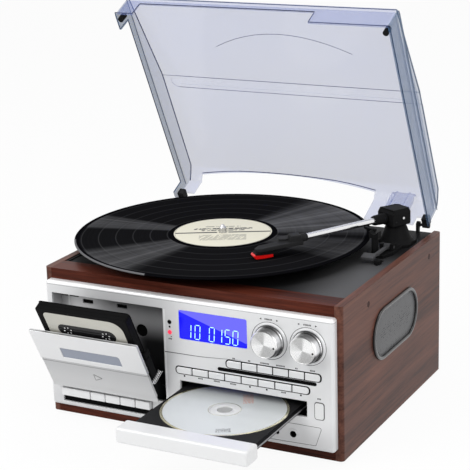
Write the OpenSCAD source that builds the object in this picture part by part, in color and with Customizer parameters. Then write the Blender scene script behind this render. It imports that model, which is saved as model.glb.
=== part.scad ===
// Stereo music centre: record player, CD tray, cassette bay and radio in one wooden cabinet.
// Origin on the table under the middle of the cabinet. X runs to the right, Y to the back, Z up.

/* [Cabinet] */
// Width over the side boards
cab_w = 318; // [314:1:330]
// Depth of the wooden cabinet
cab_d = 257; // [254:1:270]
// Height of the wooden cabinet
cab_h = 151; // [150:1:158]
// Thickness of the side boards
board_t = 7.5; // [6:0.5:9]
// Rounding of the side boards' outer upright edges
board_r = 4; // [2:0.5:6]
// Depth of the rail along the top front edge
rail_d = 24; // [20:1:30]
// Thickness of the rail along the top front edge
rail_t = 10.5; // [9:0.5:12]
// Thickness of the bottom board
bottom_t = 10.5; // [10:0.5:13]
// Thickness of the rear panel
rear_t = 4; // [3:0.5:6]
// Height of a rubber foot
foot_h = 4; // [3:0.5:8]
// Radius of a rubber foot
foot_r = 9; // [7:0.5:12]
// Distance of a foot's centre from the cabinet's sides
foot_inset = 26; // [20:1:40]

/* [Front panel] */
// How far the panel stands out from the wood
panel_t = 8; // [7:0.5:10]
// Wood left bare at each side of the panel
panel_inset = 5; // [3:0.5:8]
// Rounding of the panel's front edge
panel_r = 3; // [1.5:0.5:4]
// Height of a function button
button_h = 7; // [7:0.5:9]
// Pitch of the function buttons
function_pitch = 16.1; // [16:0.1:16.4]
// Pitch of the CD buttons
cd_pitch = 17.4; // [17:0.1:17.7]
// Travel of a button
button_travel = 1.5; // [1:0.1:2]
// Distance between the two knob axes
knob_gap = 38.8; // [38.5:0.1:40]
// Radius of a knob
knob_r = 14; // [12:0.5:15]
// Length of a knob in front of the panel
knob_l = 13; // [10:0.5:16]
// Width of the display window
display_w = 72; // [60:1:76]
// Height of the display window
display_h = 29; // [24:1:32]
// Bore of the headphone socket
phone_bore_r = 3.2; // [3.2:0.05:3.4]
// Bore of the small audio input socket
aux_bore_r = 1.8; // [1.8:0.05:2]

/* [Records] */
// Radius of the record
record_r = 151; // [145:1:152]
// Thickness of the record
record_t = 1.9; // [1.5:0.1:2.4]
// Radius of the platter
platter_r = 98; // [85:1:110]
// Thickness of the platter's plate
platter_t = 8; // [7:0.5:9]
// Radius of the spindle that the record sits on
spindle_r = 3.55; // [3.4:0.05:3.6]

/* [Tonearm] */
// Distance from the arm's pivot to the rear end of the headshell
arm_l = 124; // [118:1:127]
// Radius of the arm tube
tube_r = 3.2; // [2.5:0.1:4]
// Length of the headshell
shell_l = 44; // [40:1:46]

/* [Dust cover] */
// Width of the cover
cover_w = 300; // [296:1:302]
// Length of the cover from the hinge line to its front
cover_l = 247; // [245:1:248]
// Height of the cover's rear half
cover_h = 44; // [44:1:48]
// Height of the cover's front wall
cover_front_h = 27.6; // [26:0.5:32]
// Wall of the cover
cover_t = 2.4; // [2:0.2:3]
// Angle at which the cover stands open
cover_open = 64; // [60:1:66]

/* [CD] */
// Radius of the compact disc
disc_r = 60; // [58:1:60]
// Distance that the tray slides
tray_travel = 119; // [100:1:119]
// Width of the tray's fascia
fascia_w = 132; // [131:0.5:134]
// Height of the tray's fascia
fascia_h = 15; // [12:0.5:15]

/* [Cassette] */
// Angle at which the cassette door stands open
door_open = 27.5; // [22:0.5:28]
// Height of the cassette door
door_h = 80; // [76:1:80]
// Width of the cassette
tape_w = 100.4; // [98:0.2:101]
// Height of the cassette
tape_h = 63.8; // [62:0.2:64]
// How far an open door's cassette stands above its seat
tape_lift = 36; // [30:1:38]

/* [Fits] */
// Clearance of a pin in its bore, on the radius
pin_gap = 0.06; // [0.03:0.01:0.1]
// Gap round a button, a key, the tray and the door
slide_gap = 0.4; // [0.3:0.05:0.6]

/* [Hidden] */
$fn = 48;

// Cuts run this far past the faces that they open
over = 1;

// Cabinet
side_x = cab_w / 2;
inner_x = side_x - board_t;
front_y = -cab_d / 2;
back_y = cab_d / 2;
base_z = foot_h;
top_z = base_z + cab_h;
floor_z = base_z + bottom_t;
seat_gap = 0.1;
rear_inset = 3;
deck_recess = 1.5;
deck_t = 3;
deck_z = top_z - deck_recess;
deck_front_y = front_y + rail_d;
deck_back_y = back_y - rear_inset;

// Front panel
panel_y = front_y - panel_t;
panel_x = side_x - panel_inset;
panel_z0 = floor_z;
panel_z1 = top_z - rail_t;
panel_face = 3;
face_back_y = panel_y + panel_face;

// Cassette bay opening in the panel, and the notches that the door's arms swing in
bay_x0 = -147;
bay_x1 = -22;
door_side = 3;
bay_z0 = base_z + 46.5;
bay_z1 = base_z + 128.5;
notch_w = 8;
notch_z = base_z + 33.3;
bay_wall = 2;
bay_back_y = panel_y + 30.5;

// Keys
key_edges = [-140.1, -106.4, -89.3, -72.2, -55.1, -38.2];
key_z0 = base_z + 23.2;
key_h = 8.5;
key_drop = 7.7;
key_proud = 4.5;
key_angle = 5;
key_pivot_y = panel_y + 37;
key_pivot_z = base_z + 25;
key_shaft_r = 2;

// Display, lamps and button rows
display_x0 = -5;
display_z0 = base_z + 100.4;
lamp_x = -15;
lamp_z = base_z + 105.6;
sensor_z = base_z + 115.9;
function_x0 = 44.6;
function_z = base_z + 82.9;
cd_button_x0 = -9.6;
cd_button_z = base_z + 68.9;
button_proud = 1.2;
button_depth = 11;
flange_t = 1.5;
flange_lip = 1.2;
knob_x = 90;
knob_z = base_z + 112;
knob_shaft_r = 3;
collar_r = 17.9;
collar_t = 1.5;
board_y = panel_y + panel_face + 13;

// Tray and disc
slot_x = 60.5;
slot_z = base_z + 50.3;
slot_h = fascia_h + 2 * slide_gap;
slot_w = fascia_w + 2 * slide_gap;
fascia_t = 21;
fascia_y = panel_y - 1.5 - tray_travel;
tray_y0 = fascia_y + fascia_t;
tray_l = 134;
tray_w = 122.8;
tray_x = slot_x - 4.3;
tray_z0 = slot_z - fascia_h / 2 + 1;
tray_rim_h = 6;
disc_t = 1.2;
disc_gap = 0.3;
disc_y = tray_y0 + disc_r + 11.6;
disc_z = tray_z0 + tray_rim_h - disc_t - disc_gap;
disc_hole_r = 7.5;

// Door, holder and cassette, in the door's own frame: n behind the fascia's front, s up from the pivot
door_n = 26.6;
pivot_y = panel_y - 1.5 + door_n;
pivot_z = base_z + 28;
door_s0 = 127.5 - 28 - door_h;
door_t = 3;
door_pin_r = 2.5;
door_x0 = bay_x0 + slide_gap + 0.4;
door_x1 = bay_x1 - door_side - slide_gap - 0.4;
tape_x = -81.5;
tape_n = door_t + 1 + 6;
tape_s1 = 92;
tape_body_t = 8.8;
tape_thick_t = 12;
tape_thick_h = 15;
hub_gap = 42.5;
hub_drop = 26;
hub_r = 5;
cheek_gap = 0.4;
cheek_t = 1.4;
cheek_n = tape_n + tape_thick_t / 2 + 2;
arm_t = 3;
// Radius about the pivot that the panel's edge reaches while the door opens
panel_sweep_r = norm([pivot_y - panel_y, bay_z0 - pivot_z]) + 0.4;

// Record, platter and motor
record_x = -31.5;
record_y = 7;
platter_z = deck_z + 2;
mat_t = 1.5;
record_z = platter_z + platter_t + mat_t + 0.1;
motor_r = 26;
motor_h = 20;

// Tonearm, in plan angles from -Y towards -X
arm_x = 129;
arm_y = 78.5;
arm_z = record_z + record_t + 15.2;
arm_turn = 27.8;
shell_turn = 45.3;
turret_front = 14;
turret_rear = 12;
turret_w = 24;
turret_drop = 7.5;
turret_rise = 9;
base_r = 21;
dome_r = 15;

// Dust cover, drawn shut and turned open about its hinge
hinge_y = back_y - 3.5;
hinge_z = top_z + 6;
cover_z = top_z + 0.8;
cover_y = back_y - 9.1;
cover_slope_l = 110;
cover_skirt_h = 27;
cover_side_step = 2.5;
cover_rear_h = 33;
cut_h = 18;
hinge_pin_r = 1.5;
bumper_r = 3;

// Speakers
grille_l = 114;
grille_h = 52;
grille_z = base_z + 93.6;
grille_t = 2.5;
cone_r = 24;

// ---- shared shapes ----

// A box from its lowest corner to its highest corner
module span(lo, hi) {
    translate(lo) cube([hi[0] - lo[0], hi[1] - lo[1], hi[2] - lo[2]]);
}

// A rectangle with round corners, centred
module round_rect(w, h, r) {
    x = w / 2 - r;
    y = h / 2 - r;
    square([w, h - 2 * r], center = true);
    square([w - 2 * r, h], center = true);
    for (sx = [-1, 1], sy = [-1, 1]) translate([sx * x, sy * y]) circle(r);
}

// Lays a drawing of the XY plane on the front: its x stays, its y becomes z, and it runs back from y
module on_front(y, t) {
    translate([0, y + t, 0]) rotate([90, 0, 0]) linear_extrude(t) children();
}

// A cylinder along X from x0 to x1
module rod_x(x0, x1, r) {
    translate([x0, 0, 0]) rotate([0, 90, 0]) cylinder(h = x1 - x0, r = r);
}

// ---- cabinet ----

// Outline of the right side board in plan, its outer corners rounded
module board_plan() {
    difference() {
        translate([inner_x, front_y]) square([board_t, cab_d]);
        for (e = [-1, 1]) translate([side_x - board_r, e * (cab_d / 2 - board_r)]) difference() {
            translate([0, e > 0 ? 0 : -board_r - over]) square([board_r + over, board_r + over]);
            circle(board_r);
        }
    }
}

// Outline of a speaker opening, in Y and Z
module speaker_outline(grow) {
    r = grille_h / 2 + grow;
    square([grille_l - grille_h, 2 * r], center = true);
    for (e = [-1, 1]) translate([e * (grille_l - grille_h) / 2, 0]) circle(r);
}

// Lays a drawing on the right side, its x along Y and its y along Z, out to x1 with thickness t
module on_side(x1, t) {
    translate([x1 - t, 0, 0]) rotate([90, 0, 90]) linear_extrude(t) children();
}

plug_places = [[-66.7, 134], [93.4, 134]];
plug_r = 3;
plug_t = 2;

module side_board() {
    difference() {
        translate([0, 0, base_z]) linear_extrude(cab_h) board_plan();
        translate([0, 0, grille_z]) on_side(side_x + over, board_t + 2 * over) speaker_outline(0);
        for (p = plug_places) translate([side_x - plug_t, p[0], base_z + p[1]]) rod_x(0, plug_t + over, plug_r);
    }
}

module right_side_board() {
    color([0.36, 0.2, 0.16]) side_board();
}

module left_side_board() {
    color([0.36, 0.2, 0.16]) mirror([1, 0, 0]) side_board();
}

module front_top_rail() {
    color([0.26, 0.11, 0.08])
        span([-inner_x + seat_gap, front_y, top_z - rail_t], [inner_x - seat_gap, deck_front_y, top_z]);
}

module bottom_board() {
    color([0.26, 0.11, 0.08]) difference() {
        span([-inner_x + seat_gap, front_y, base_z], [inner_x - seat_gap, deck_back_y - rear_t - seat_gap, floor_z]);
        for (x = [-80 : 20 : 80], y = [-30 : 20 : 30])
            translate([x, y, base_z - over]) cylinder(h = bottom_t + 2 * over, r = 2.5);
    }
}

// The rear panel has windows for the output sockets, the power inlet and a field of vent slots
rca_x = [-112, -94];
socket_z = base_z + 40;
socket_plate_x = [-128, -78];
socket_plate_h = 30;
inlet_x = 110;
inlet_r = 5;

module rear_panel() {
    color([0.12, 0.12, 0.12]) difference() {
        span([-inner_x + seat_gap, deck_back_y - rear_t, base_z],
            [inner_x - seat_gap, deck_back_y, deck_z - deck_t - seat_gap]);
        span([socket_plate_x[0], deck_back_y - rear_t - over, socket_z - socket_plate_h / 2],
            [socket_plate_x[1], deck_back_y + over, socket_z + socket_plate_h / 2]);
        translate([inlet_x, 0, socket_z]) rotate([90, 0, 0])
            translate([0, 0, -back_y]) cylinder(h = 2 * rear_t + 2 * over, r = inlet_r);
        for (i = [0 : 8]) translate([-40 + 10 * i, deck_back_y - rear_t / 2, base_z + 85])
            cube([3.5, rear_t + 2 * over, 40], center = true);
    }
}

module rubber_feet() {
    color([0.08, 0.08, 0.08])
        for (sx = [-1, 1], sy = [-1, 1])
            translate([sx * (side_x - foot_inset), sy * (cab_d / 2 - foot_inset), 0]) {
                cylinder(h = foot_h, r = foot_r);
            }
}

// ---- turntable ----

hinge_ear_x = [cover_w / 2 - 16, cover_w / 2 - 13];

module turntable_deck() {
    color([0.07, 0.07, 0.08]) {
        difference() {
            union() {
                span([-inner_x + seat_gap, deck_front_y + seat_gap, deck_z - deck_t],
                    [inner_x - seat_gap, deck_back_y, deck_z]);
                // Ring under the plate that the motor hangs in
                translate([record_x, record_y, deck_z - deck_t - 12]) cylinder(h = 12, r = motor_r + 5);
                // Ribs under the plate
                for (y = [-60, 95]) span([-inner_x + 4, y, deck_z - deck_t - 6], [inner_x - 4, y + 2, deck_z]);
            }
            translate([record_x, record_y, deck_z - deck_t - 12 - over]) cylinder(h = 12, r = motor_r + seat_gap);
            translate([record_x, record_y, deck_z - deck_t - over]) cylinder(h = deck_t + 2 * over, r = 9);
            // Slot of the speed switch
            span([switch_x - 1.6, switch_y - 9, deck_z - deck_t - over], [switch_x + 1.6, switch_y + 9, deck_z + over]);
            // Hole under the tonearm's turret
            translate([arm_x, arm_y, deck_z - deck_t - over]) cylinder(h = deck_t + 2 * over, r = 7);
        }
        // Raised rim along the sides of the plate
        for (e = [-1, 1]) scale_x(e) span([inner_x - 3, deck_front_y + seat_gap, deck_z], [inner_x - seat_gap, 96, deck_z + 0.8]);
        // Ears that hold the cover's hinge pins
        for (e = [-1, 1]) scale_x(e) difference() {
            union() {
                span([hinge_ear_x[0], hinge_y - 3.5, deck_z], [hinge_ear_x[1], deck_back_y, hinge_z]);
                translate([0, hinge_y, hinge_z]) rod_x(hinge_ear_x[0], hinge_ear_x[1], 3.5);
            }
            translate([0, hinge_y, hinge_z]) rod_x(hinge_ear_x[0] - over, hinge_ear_x[1] + over, hinge_pin_r + pin_gap);
        }
    }
}

// Mirrors its children across the YZ plane when e is negative
module scale_x(e) {
    if (e > 0) children();
    if (e < 0) mirror([1, 0, 0]) children();
}

shaft_r = 3;

module drive_motor() {
    color([0.6, 0.6, 0.62]) translate([record_x, record_y, 0]) difference() {
        union() {
            translate([0, 0, deck_z - deck_t - motor_h]) cylinder(h = motor_h - 2, r = motor_r);
            translate([0, 0, deck_z - deck_t - 2 - over]) cylinder(h = deck_t + over, r = 8);
        }
        translate([0, 0, deck_z - deck_t - 14]) cylinder(h = 30, r = shaft_r + pin_gap);
    }
}

module platter_spindle() {
    color([0.85, 0.85, 0.86]) translate([record_x, record_y, 0]) {
        translate([0, 0, deck_z - deck_t - 13.5]) cylinder(h = platter_z - deck_z + deck_t + 14, r = shaft_r);
        translate([0, 0, platter_z]) cylinder(h = record_z + record_t + 5 - platter_z, r = spindle_r);
        translate([0, 0, record_z + record_t + 5]) cylinder(h = 3, r1 = spindle_r, r2 = 1.4);
    }
}

module platter() {
    color([0.15, 0.15, 0.16]) translate([record_x, record_y, platter_z]) difference() {
        union() {
            rotate_extrude($fn = 96) polygon([[0, 0], [platter_r - 3, 0], [platter_r, 2], [platter_r, platter_t - 1],
                [platter_r - 1, platter_t], [0, platter_t]]);
        }
        translate([0, 0, -over]) cylinder(h = platter_t - 3 + over, r = platter_r - 6);
        translate([0, 0, -over]) cylinder(h = platter_t + 2 * over, r = spindle_r + 0.02);
    }
    color([0.15, 0.15, 0.16]) translate([record_x, record_y, platter_z]) difference() {
        cylinder(h = platter_t - 3, r = 16);
        translate([0, 0, -over]) cylinder(h = platter_t + 2 * over, r = spindle_r + 0.02);
    }
}

module slip_mat() {
    color([0.2, 0.2, 0.2]) translate([record_x, record_y, platter_z + platter_t + 0.05]) difference() {
        cylinder(h = mat_t, r = platter_r - 2, $fn = 96);
        translate([0, 0, -over]) cylinder(h = mat_t + 2 * over, r = spindle_r + 0.1);
    }
}

label_r = 50;

module vinyl_record() {
    color([0.05, 0.05, 0.05]) translate([record_x, record_y, record_z]) difference() {
        rotate_extrude($fn = 128) polygon([[0, 0], [label_r + 4, 0], [label_r + 5, 0.3], [record_r - 5, 0.3], [record_r - 3, 0],
            [record_r - 0.8, 0], [record_r, record_t / 2], [record_r - 0.8, record_t], [record_r - 3, record_t],
            [record_r - 5, record_t - 0.3], [label_r + 5, record_t - 0.3], [label_r + 4, record_t], [0, record_t]]);
        translate([0, 0, -over]) cylinder(h = record_t + 2 * over, r = spindle_r + 0.08);
    }
}

// ---- tonearm ----

turret_z0 = arm_z - turret_drop;
base_plate_t = 3;
rest_dist = 48;
rest_turn = 4;
rest_top = arm_z - tube_r - 0.4;
yaw_r = 3;
bar_turns = [14, 42];
bar_dist = 33;
cover_flat = 4.4;

// Puts its children in the arm's frame: the arm runs along -Y from the pivot at the origin
module arm_frame(turn) {
    translate([arm_x, arm_y, 0]) rotate([0, 0, -turn]) children();
}

module tonearm_base() {
    dome_z1 = turret_z0 - 0.4;
    color([0.1, 0.1, 0.11]) difference() {
        union() {
            translate([arm_x, arm_y, deck_z]) cylinder(h = base_plate_t, r = base_r);
            translate([arm_x, arm_y, deck_z]) rotate_extrude() polygon([[0, 1], [dome_r + 4, 1], [dome_r + 4, base_plate_t],
                [dome_r + 1, 6], [dome_r - 1, 10], [dome_r - 4, dome_z1 - deck_z - 3], [dome_r - 6, dome_z1 - deck_z], [0, dome_z1 - deck_z]]);
            translate([0, 0, deck_z]) linear_extrude(base_plate_t) polygon([[arm_x - 17, arm_y + 5], [arm_x - 15, arm_y - 42],
                [arm_x - 9, arm_y - 56], [arm_x + 8, arm_y - 56], [arm_x + 13, arm_y - 40], [arm_x + 13, arm_y + 5]]);
            // Post and cradle of the arm rest
            arm_frame(rest_turn) translate([0, -rest_dist, 0]) {
                translate([0, 0, deck_z + 1]) cylinder(h = rest_top - 6 - deck_z, r = 3.5);
                span([-5, -3.5, rest_top - 6.5], [5, 3.5, rest_top]);
            }
            // Curved bar that carries the arm while it is cued
            translate([arm_x, arm_y, 0]) cue_bar();
            // Ears of the cue lever
            for (e = [-1, 1]) span([cue_x + e * 5.4 - 1.8, cue_y - 3, deck_z], [cue_x + e * 5.4 + 1.8, cue_y + 3, cue_z + 3]);
        }
        arm_frame(rest_turn) translate([0, -rest_dist, arm_z - 1.6]) rotate([90, 0, 0])
            cylinder(h = 10, r = tube_r + 1.6, center = true);
        translate([arm_x, arm_y, deck_z - over]) cylinder(h = 60, r = yaw_r + pin_gap);
        // Flat beside the cover's wall
        span([inner_x - cover_flat, arm_y - base_r, deck_z - over], [inner_x, arm_y + base_r, arm_z]);
        // Bores of the cue lever's pin
        translate([cue_x, cue_y, cue_z]) rod_x(-12, 12, cue_pin_r + pin_gap);
    }
}

module cue_bar() {
    z0 = deck_z + 1;
    z1 = arm_z - tube_r - 3;
    rotate([0, 0, -90 - bar_turns[1]]) rotate_extrude(angle = bar_turns[1] - bar_turns[0])
        translate([bar_dist, z1 - 2.5]) square([3, 2.5]);
    rotate([0, 0, -90 - bar_turns[0] - 4]) translate([bar_dist + 1.5, 0, z0]) cylinder(h = z1 - z0 - 1, r = 1.8);
}

// The turret turns on the base and carries the arm in its slot
lift_pin_r = 1.5;
tongue_w = 8;
tongue_h = 3.4;
tongue_back = 6;
arm_gap = 1.5;

module arm_turret() {
    color([0.1, 0.1, 0.1]) arm_frame(arm_turn) difference() {
        union() {
            span([-turret_w / 2, -turret_front, turret_z0], [turret_w / 2, turret_rear, arm_z + turret_rise]);
            translate([0, 0, deck_z + 1]) cylinder(h = turret_z0 - deck_z, r = yaw_r);
        }
        // Chamfers of the rear end
        for (e = [-1, 1]) translate([e * turret_w / 2, turret_rear, arm_z]) rotate([0, 0, 45]) cube([5, 5, 60], center = true);
        translate([0, turret_rear, turret_z0]) rotate([45, 0, 0]) cube([2 * turret_w, 7, 7], center = true);
        // Slot of the arm's tongue
        span([-tongue_w / 2 - 0.4, -turret_front - over, arm_z - tongue_h - 1.4],
            [tongue_w / 2 + 0.4, tongue_back + 2, arm_z + tongue_h + 2.6]);
        translate([0, 0, arm_z]) rod_x(-turret_w / 2 - over, turret_w / 2 + over, lift_pin_r + pin_gap);
    }
}

sleeve_r = 5.5;
sleeve_l = 30;
collet_l = 9.5;

module arm_tube() {
    color([0.78, 0.78, 0.8]) arm_frame(arm_turn) {
        translate([0, -sleeve_l + over, arm_z]) rotate([90, 0, 0]) cylinder(h = arm_l - sleeve_l - collet_l + 2 * over, r = tube_r);
        translate([0, -arm_l + collet_l, arm_z]) rotate([90, 0, 0]) cylinder(h = collet_l, r = tube_r + 0.8);
        translate([0, -turret_front - arm_gap, arm_z]) rotate([90, 0, 0])
            cylinder(h = sleeve_l - turret_front - arm_gap, r1 = sleeve_r, r2 = sleeve_r - 0.6);
        span([-tongue_w / 2, -turret_front - arm_gap - over, arm_z - tongue_h], [tongue_w / 2, tongue_back, arm_z + tongue_h]);
        translate([0, 0, arm_z]) rod_x(-turret_w / 2 + 0.3, turret_w / 2 - 0.3, lift_pin_r);
    }
}

// Puts its children in the headshell's frame: it runs along -Y from the end of the arm
module shell_frame() {
    translate([arm_x - arm_l * sin(arm_turn), arm_y - arm_l * cos(arm_turn), 0]) rotate([0, 0, -shell_turn]) children();
}

shell_w = 13;
shell_flat_l = shell_l / 2;
shell_top = arm_z - 1.2;
shell_h = 4;
nose_drop = 4;

// The shell from the side in Y and Z: flat behind, its front half drawn down to the nose
function shell_side() = [[4, shell_top - shell_h], [4, shell_top], [-shell_flat_l, shell_top], [-shell_l, shell_top - nose_drop],
    [-shell_l, shell_top - nose_drop - shell_h + 1], [-shell_flat_l, shell_top - shell_h - 0.6]];

module headshell() {
    color([0.13, 0.13, 0.13]) shell_frame() difference() {
        union() {
            intersection() {
                translate([0, 0, record_z]) linear_extrude(30) polygon([[-5, 4], [5, 4], [shell_w / 2, -4], [shell_w / 2, -shell_l + 3],
                    [shell_w / 2 - 2, -shell_l], [-shell_w / 2 + 2, -shell_l], [-shell_w / 2, -shell_l + 3], [-shell_w / 2, -4]]);
                translate([-shell_w, 0, 0]) rotate([90, 0, 90]) linear_extrude(2 * shell_w) polygon(shell_side());
            }
            // Socket round the end of the arm
            span([-5.6, -9, arm_z - 4.8], [5.6, 2, arm_z + 4.8]);
            // Finger lift on the far side
            translate([0, 0, shell_top - 1]) linear_extrude(2.2) polygon([[-shell_w / 2 + 3, -4], [-shell_w / 2 - 3, -2],
                [-shell_w / 2 - 10, -3], [-shell_w / 2 - 7, -17], [-shell_w / 2 + 1, -18], [-shell_w / 2 + 3, -12]]);
        }
        translate([0, 0, arm_z]) arm_end_bore();
    }
}

// Bore that the end of the arm tube sits in, in the headshell's frame
module arm_end_bore() {
    rotate([0, 0, shell_turn - arm_turn]) rotate([90, 0, 0]) translate([0, 0, -8]) cylinder(h = 12, r = tube_r + 0.85);
}

stylus_z0 = record_z + record_t + 0.45;
stylus_z1 = stylus_z0 + 4.7;

module cartridge() {
    tip_z = record_z + record_t + 0.25;
    nose_z = shell_top - nose_drop - shell_h + 0.95;
    flat_z = shell_top - shell_h - 0.65;
    color([0.75, 0.05, 0.05]) shell_frame() {
        // Body under the shell, its top along the shell's underside
        translate([-5.4, 0, 0]) rotate([90, 0, 90]) linear_extrude(10.8) polygon([[-shell_flat_l, stylus_z1 - 1], [-shell_flat_l, flat_z],
            [-shell_l, nose_z], [-shell_l - 1.5, stylus_z1 - 0.6], [-shell_l + 4, stylus_z1 - 1]]);
        // Stylus holder below it, with the needle at its front end
        translate([-5, 0, 0]) rotate([90, 0, 90]) linear_extrude(10) polygon([[-shell_flat_l - 5, stylus_z0 + 0.7], [-shell_flat_l - 5, stylus_z1 + 0.4],
            [-shell_l - 1.8, stylus_z1], [-shell_l - 3.2, stylus_z1 - 1.4], [-shell_l - 0.6, stylus_z0], [-shell_l + 8, stylus_z0]]);
        translate([0, -shell_l + 0.4, tip_z]) cylinder(h = stylus_z1 - 1 - tip_z, r1 = 0.3, r2 = 0.8, $fn = 16);
    }
}

// ---- controls on the deck ----

cue_x = 133.5;
cue_y = 44;
cue_z = deck_z + base_plate_t + 3.5;
cue_pin_r = 1.5;
switch_x = 139;
switch_y = 9;

cue_l = 38;

module cue_lever() {
    color([0.45, 0.46, 0.48]) translate([cue_x, cue_y, cue_z]) {
        rod_x(-3, 3, 3.2);
        rod_x(-7.1, 7.1, cue_pin_r);
        translate([0, 0, -1.2]) linear_extrude(2.4)
            polygon([[-1.8, 0], [1.8, 0], [1.8, -cue_l + 8], [0, -cue_l + 2], [-5, -cue_l + 2], [-5, -cue_l + 5], [-1.8, -cue_l + 9]]);
        translate([-4.5, -cue_l, 0]) rotate([15, 0, 0]) cube([13, 9, 2.4], center = true);
    }
}

module speed_switch() {
    color([0.2, 0.2, 0.2]) translate([switch_x, switch_y - 4, 0]) {
        span([-1.3, -2, deck_z - deck_t - 2], [1.3, 2, deck_z + 1]);
        span([-3, -2.5, deck_z - deck_t - 3.5], [3, 2.5, deck_z - deck_t - 0.3]);
        span([-3, -3, deck_z + 0.3], [3, 3, deck_z + 4]);
    }
}

// ---- front panel ----

// The panel's body: a plate with straight sides behind, and round edges and corners in front
module panel_blank() {
    x = panel_x - panel_r;
    z0 = panel_z0 + panel_r;
    z1 = panel_z1 - panel_r;
    y = panel_y + panel_r;
    translate([0, 0, (panel_z0 + panel_z1) / 2]) on_front(y, panel_t - panel_r)
        round_rect(2 * panel_x, panel_z1 - panel_z0, panel_r);
    span([-x, panel_y, z0], [x, y, z1]);
    // Round front edges
    for (z = [z0, z1]) translate([0, y, z]) rod_x(-x, x, panel_r);
    for (e = [-1, 1]) translate([e * x, y, z0]) cylinder(h = z1 - z0, r = panel_r);
    // Round front corners
    for (e = [-1, 1], z = [z0, z1]) translate([e * x, y, z]) sphere(panel_r);
}

// A row's opening, from its left end, its middle height and its length
module row_opening(x0, z, l, h) {
    translate([x0 + l / 2, z]) round_rect(l + 2 * slide_gap, h + 2 * slide_gap, 3);
}

usb_x = 139.4;
usb_z = base_z + 50.6;
usb_w = 9.4;
usb_h = 16.4;
phone_x = 112.4;
phone_z = base_z + 23.4;
aux_x = 96.3;
aux_z = base_z + 22.6;

module front_panel() {
    color([0.8, 0.81, 0.82]) difference() {
        panel_blank();
        // Hollow behind the face
        span([-inner_x + 3, face_back_y, panel_z0 + 2.5], [inner_x - 3, front_y + over, panel_z1 - 2.5]);
        // Cassette bay with its notches
        span([bay_x0, panel_y - over, bay_z0], [bay_x1, face_back_y + over, bay_z1]);
        for (x = [[bay_x0, bay_x0 + notch_w], [bay_x1 - door_side - notch_w, bay_x1]])
            span([x[0], panel_y - over, notch_z], [x[1], face_back_y + over, bay_z0 + over]);
        // Keys
        span([key_edges[0] - slide_gap, panel_y - over, key_z0 - key_drop],
            [key_edges[5] + slide_gap, face_back_y + over, key_z0 + key_h + slide_gap]);
        // Display
        translate([display_x0 + display_w / 2, 0, display_z0 + display_h / 2])
            on_front(panel_y - over, panel_face + 2 * over) round_rect(display_w, display_h, 2);
        // Button rows
        on_front(panel_y - over, panel_face + 2 * over) row_opening(function_x0, function_z, 6 * function_pitch, button_h);
        on_front(panel_y - over, panel_face + 2 * over) row_opening(cd_button_x0, cd_button_z, 8 * cd_pitch, button_h - 0.4);
        // Knob shafts
        for (i = [0, 1]) translate([knob_x + i * knob_gap, panel_y - over, knob_z]) rotate([-90, 0, 0])
            cylinder(h = panel_face + 2 * over, r = knob_shaft_r + pin_gap);
        // Tray slot
        span([slot_x - slot_w / 2, panel_y - over, slot_z - slot_h / 2], [slot_x + slot_w / 2, face_back_y + over, slot_z + slot_h / 2]);
        // Sockets
        translate([usb_x, 0, usb_z]) on_front(panel_y - over, panel_face + 2 * over) round_rect(usb_w + 0.2, usb_h + 0.2, 2.5);
        translate([phone_x, panel_y - over, phone_z]) rotate([-90, 0, 0]) cylinder(h = 20, r = 5.1);
        translate([aux_x, panel_y - over, aux_z]) rotate([-90, 0, 0]) cylinder(h = 20, r = 3.6);
        // Lamp and remote sensor
        for (z = [lamp_z, sensor_z]) translate([lamp_x, panel_y - over, z]) rotate([-90, 0, 0]) cylinder(h = 20, r = 2.05);
    }
    // Raised collars round the knobs
    color([0.8, 0.81, 0.82]) for (i = [0, 1]) translate([knob_x + i * knob_gap, panel_y, knob_z]) rotate([90, 0, 0])
        difference() {
            cylinder(h = collar_t, r1 = collar_r, r2 = collar_r - 1);
            translate([0, 0, -over]) cylinder(h = collar_t + 2 * over, r = knob_r + 1.6);
        }
}

module panel_sockets() {
    depth = 12;
    color([0.1, 0.1, 0.1]) {
        // Port with its tongue
        translate([usb_x, 0, usb_z]) difference() {
            on_front(panel_y - 0.6, depth) round_rect(usb_w, usb_h, 2.4);
            translate([0, panel_y - 0.6 + depth / 2 - 2, 0]) cube([4.6, depth, 12.2], center = true);
        }
        span([usb_x + 0.2, panel_y + 1, usb_z - 5.4], [usb_x + 1.9, panel_y + depth - 2, usb_z + 5.4]);
        for (j = [[phone_x, phone_z, 5, phone_bore_r, 15], [aux_x, aux_z, 3.5, aux_bore_r, 15]])
            translate([j[0], panel_y - 0.3, j[1]]) rotate([-90, 0, 0]) difference() {
                cylinder(h = 17, r = j[2]);
                translate([0, 0, -over]) cylinder(h = j[4] + over, r = j[3]);
            }
    }
}

module display_lens() {
    color([0.1, 0.1, 0.95]) translate([display_x0 + display_w / 2, 0, display_z0 + display_h / 2]) {
        on_front(panel_y + 0.6, panel_face - 0.6) round_rect(display_w - 0.4, display_h - 0.4, 1.8);
        on_front(face_back_y, 5) round_rect(display_w + 4, display_h + 4, 1.8);
    }
}

// ---- board behind the panel, with the switches and the lamp ----

pcb_x0 = bay_x1 + bay_wall + 1.4;
pcb_x1 = inner_x - 3;
pcb_z0 = slot_z + slot_h / 2 + 4;
pcb_t = 1.6;

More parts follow.
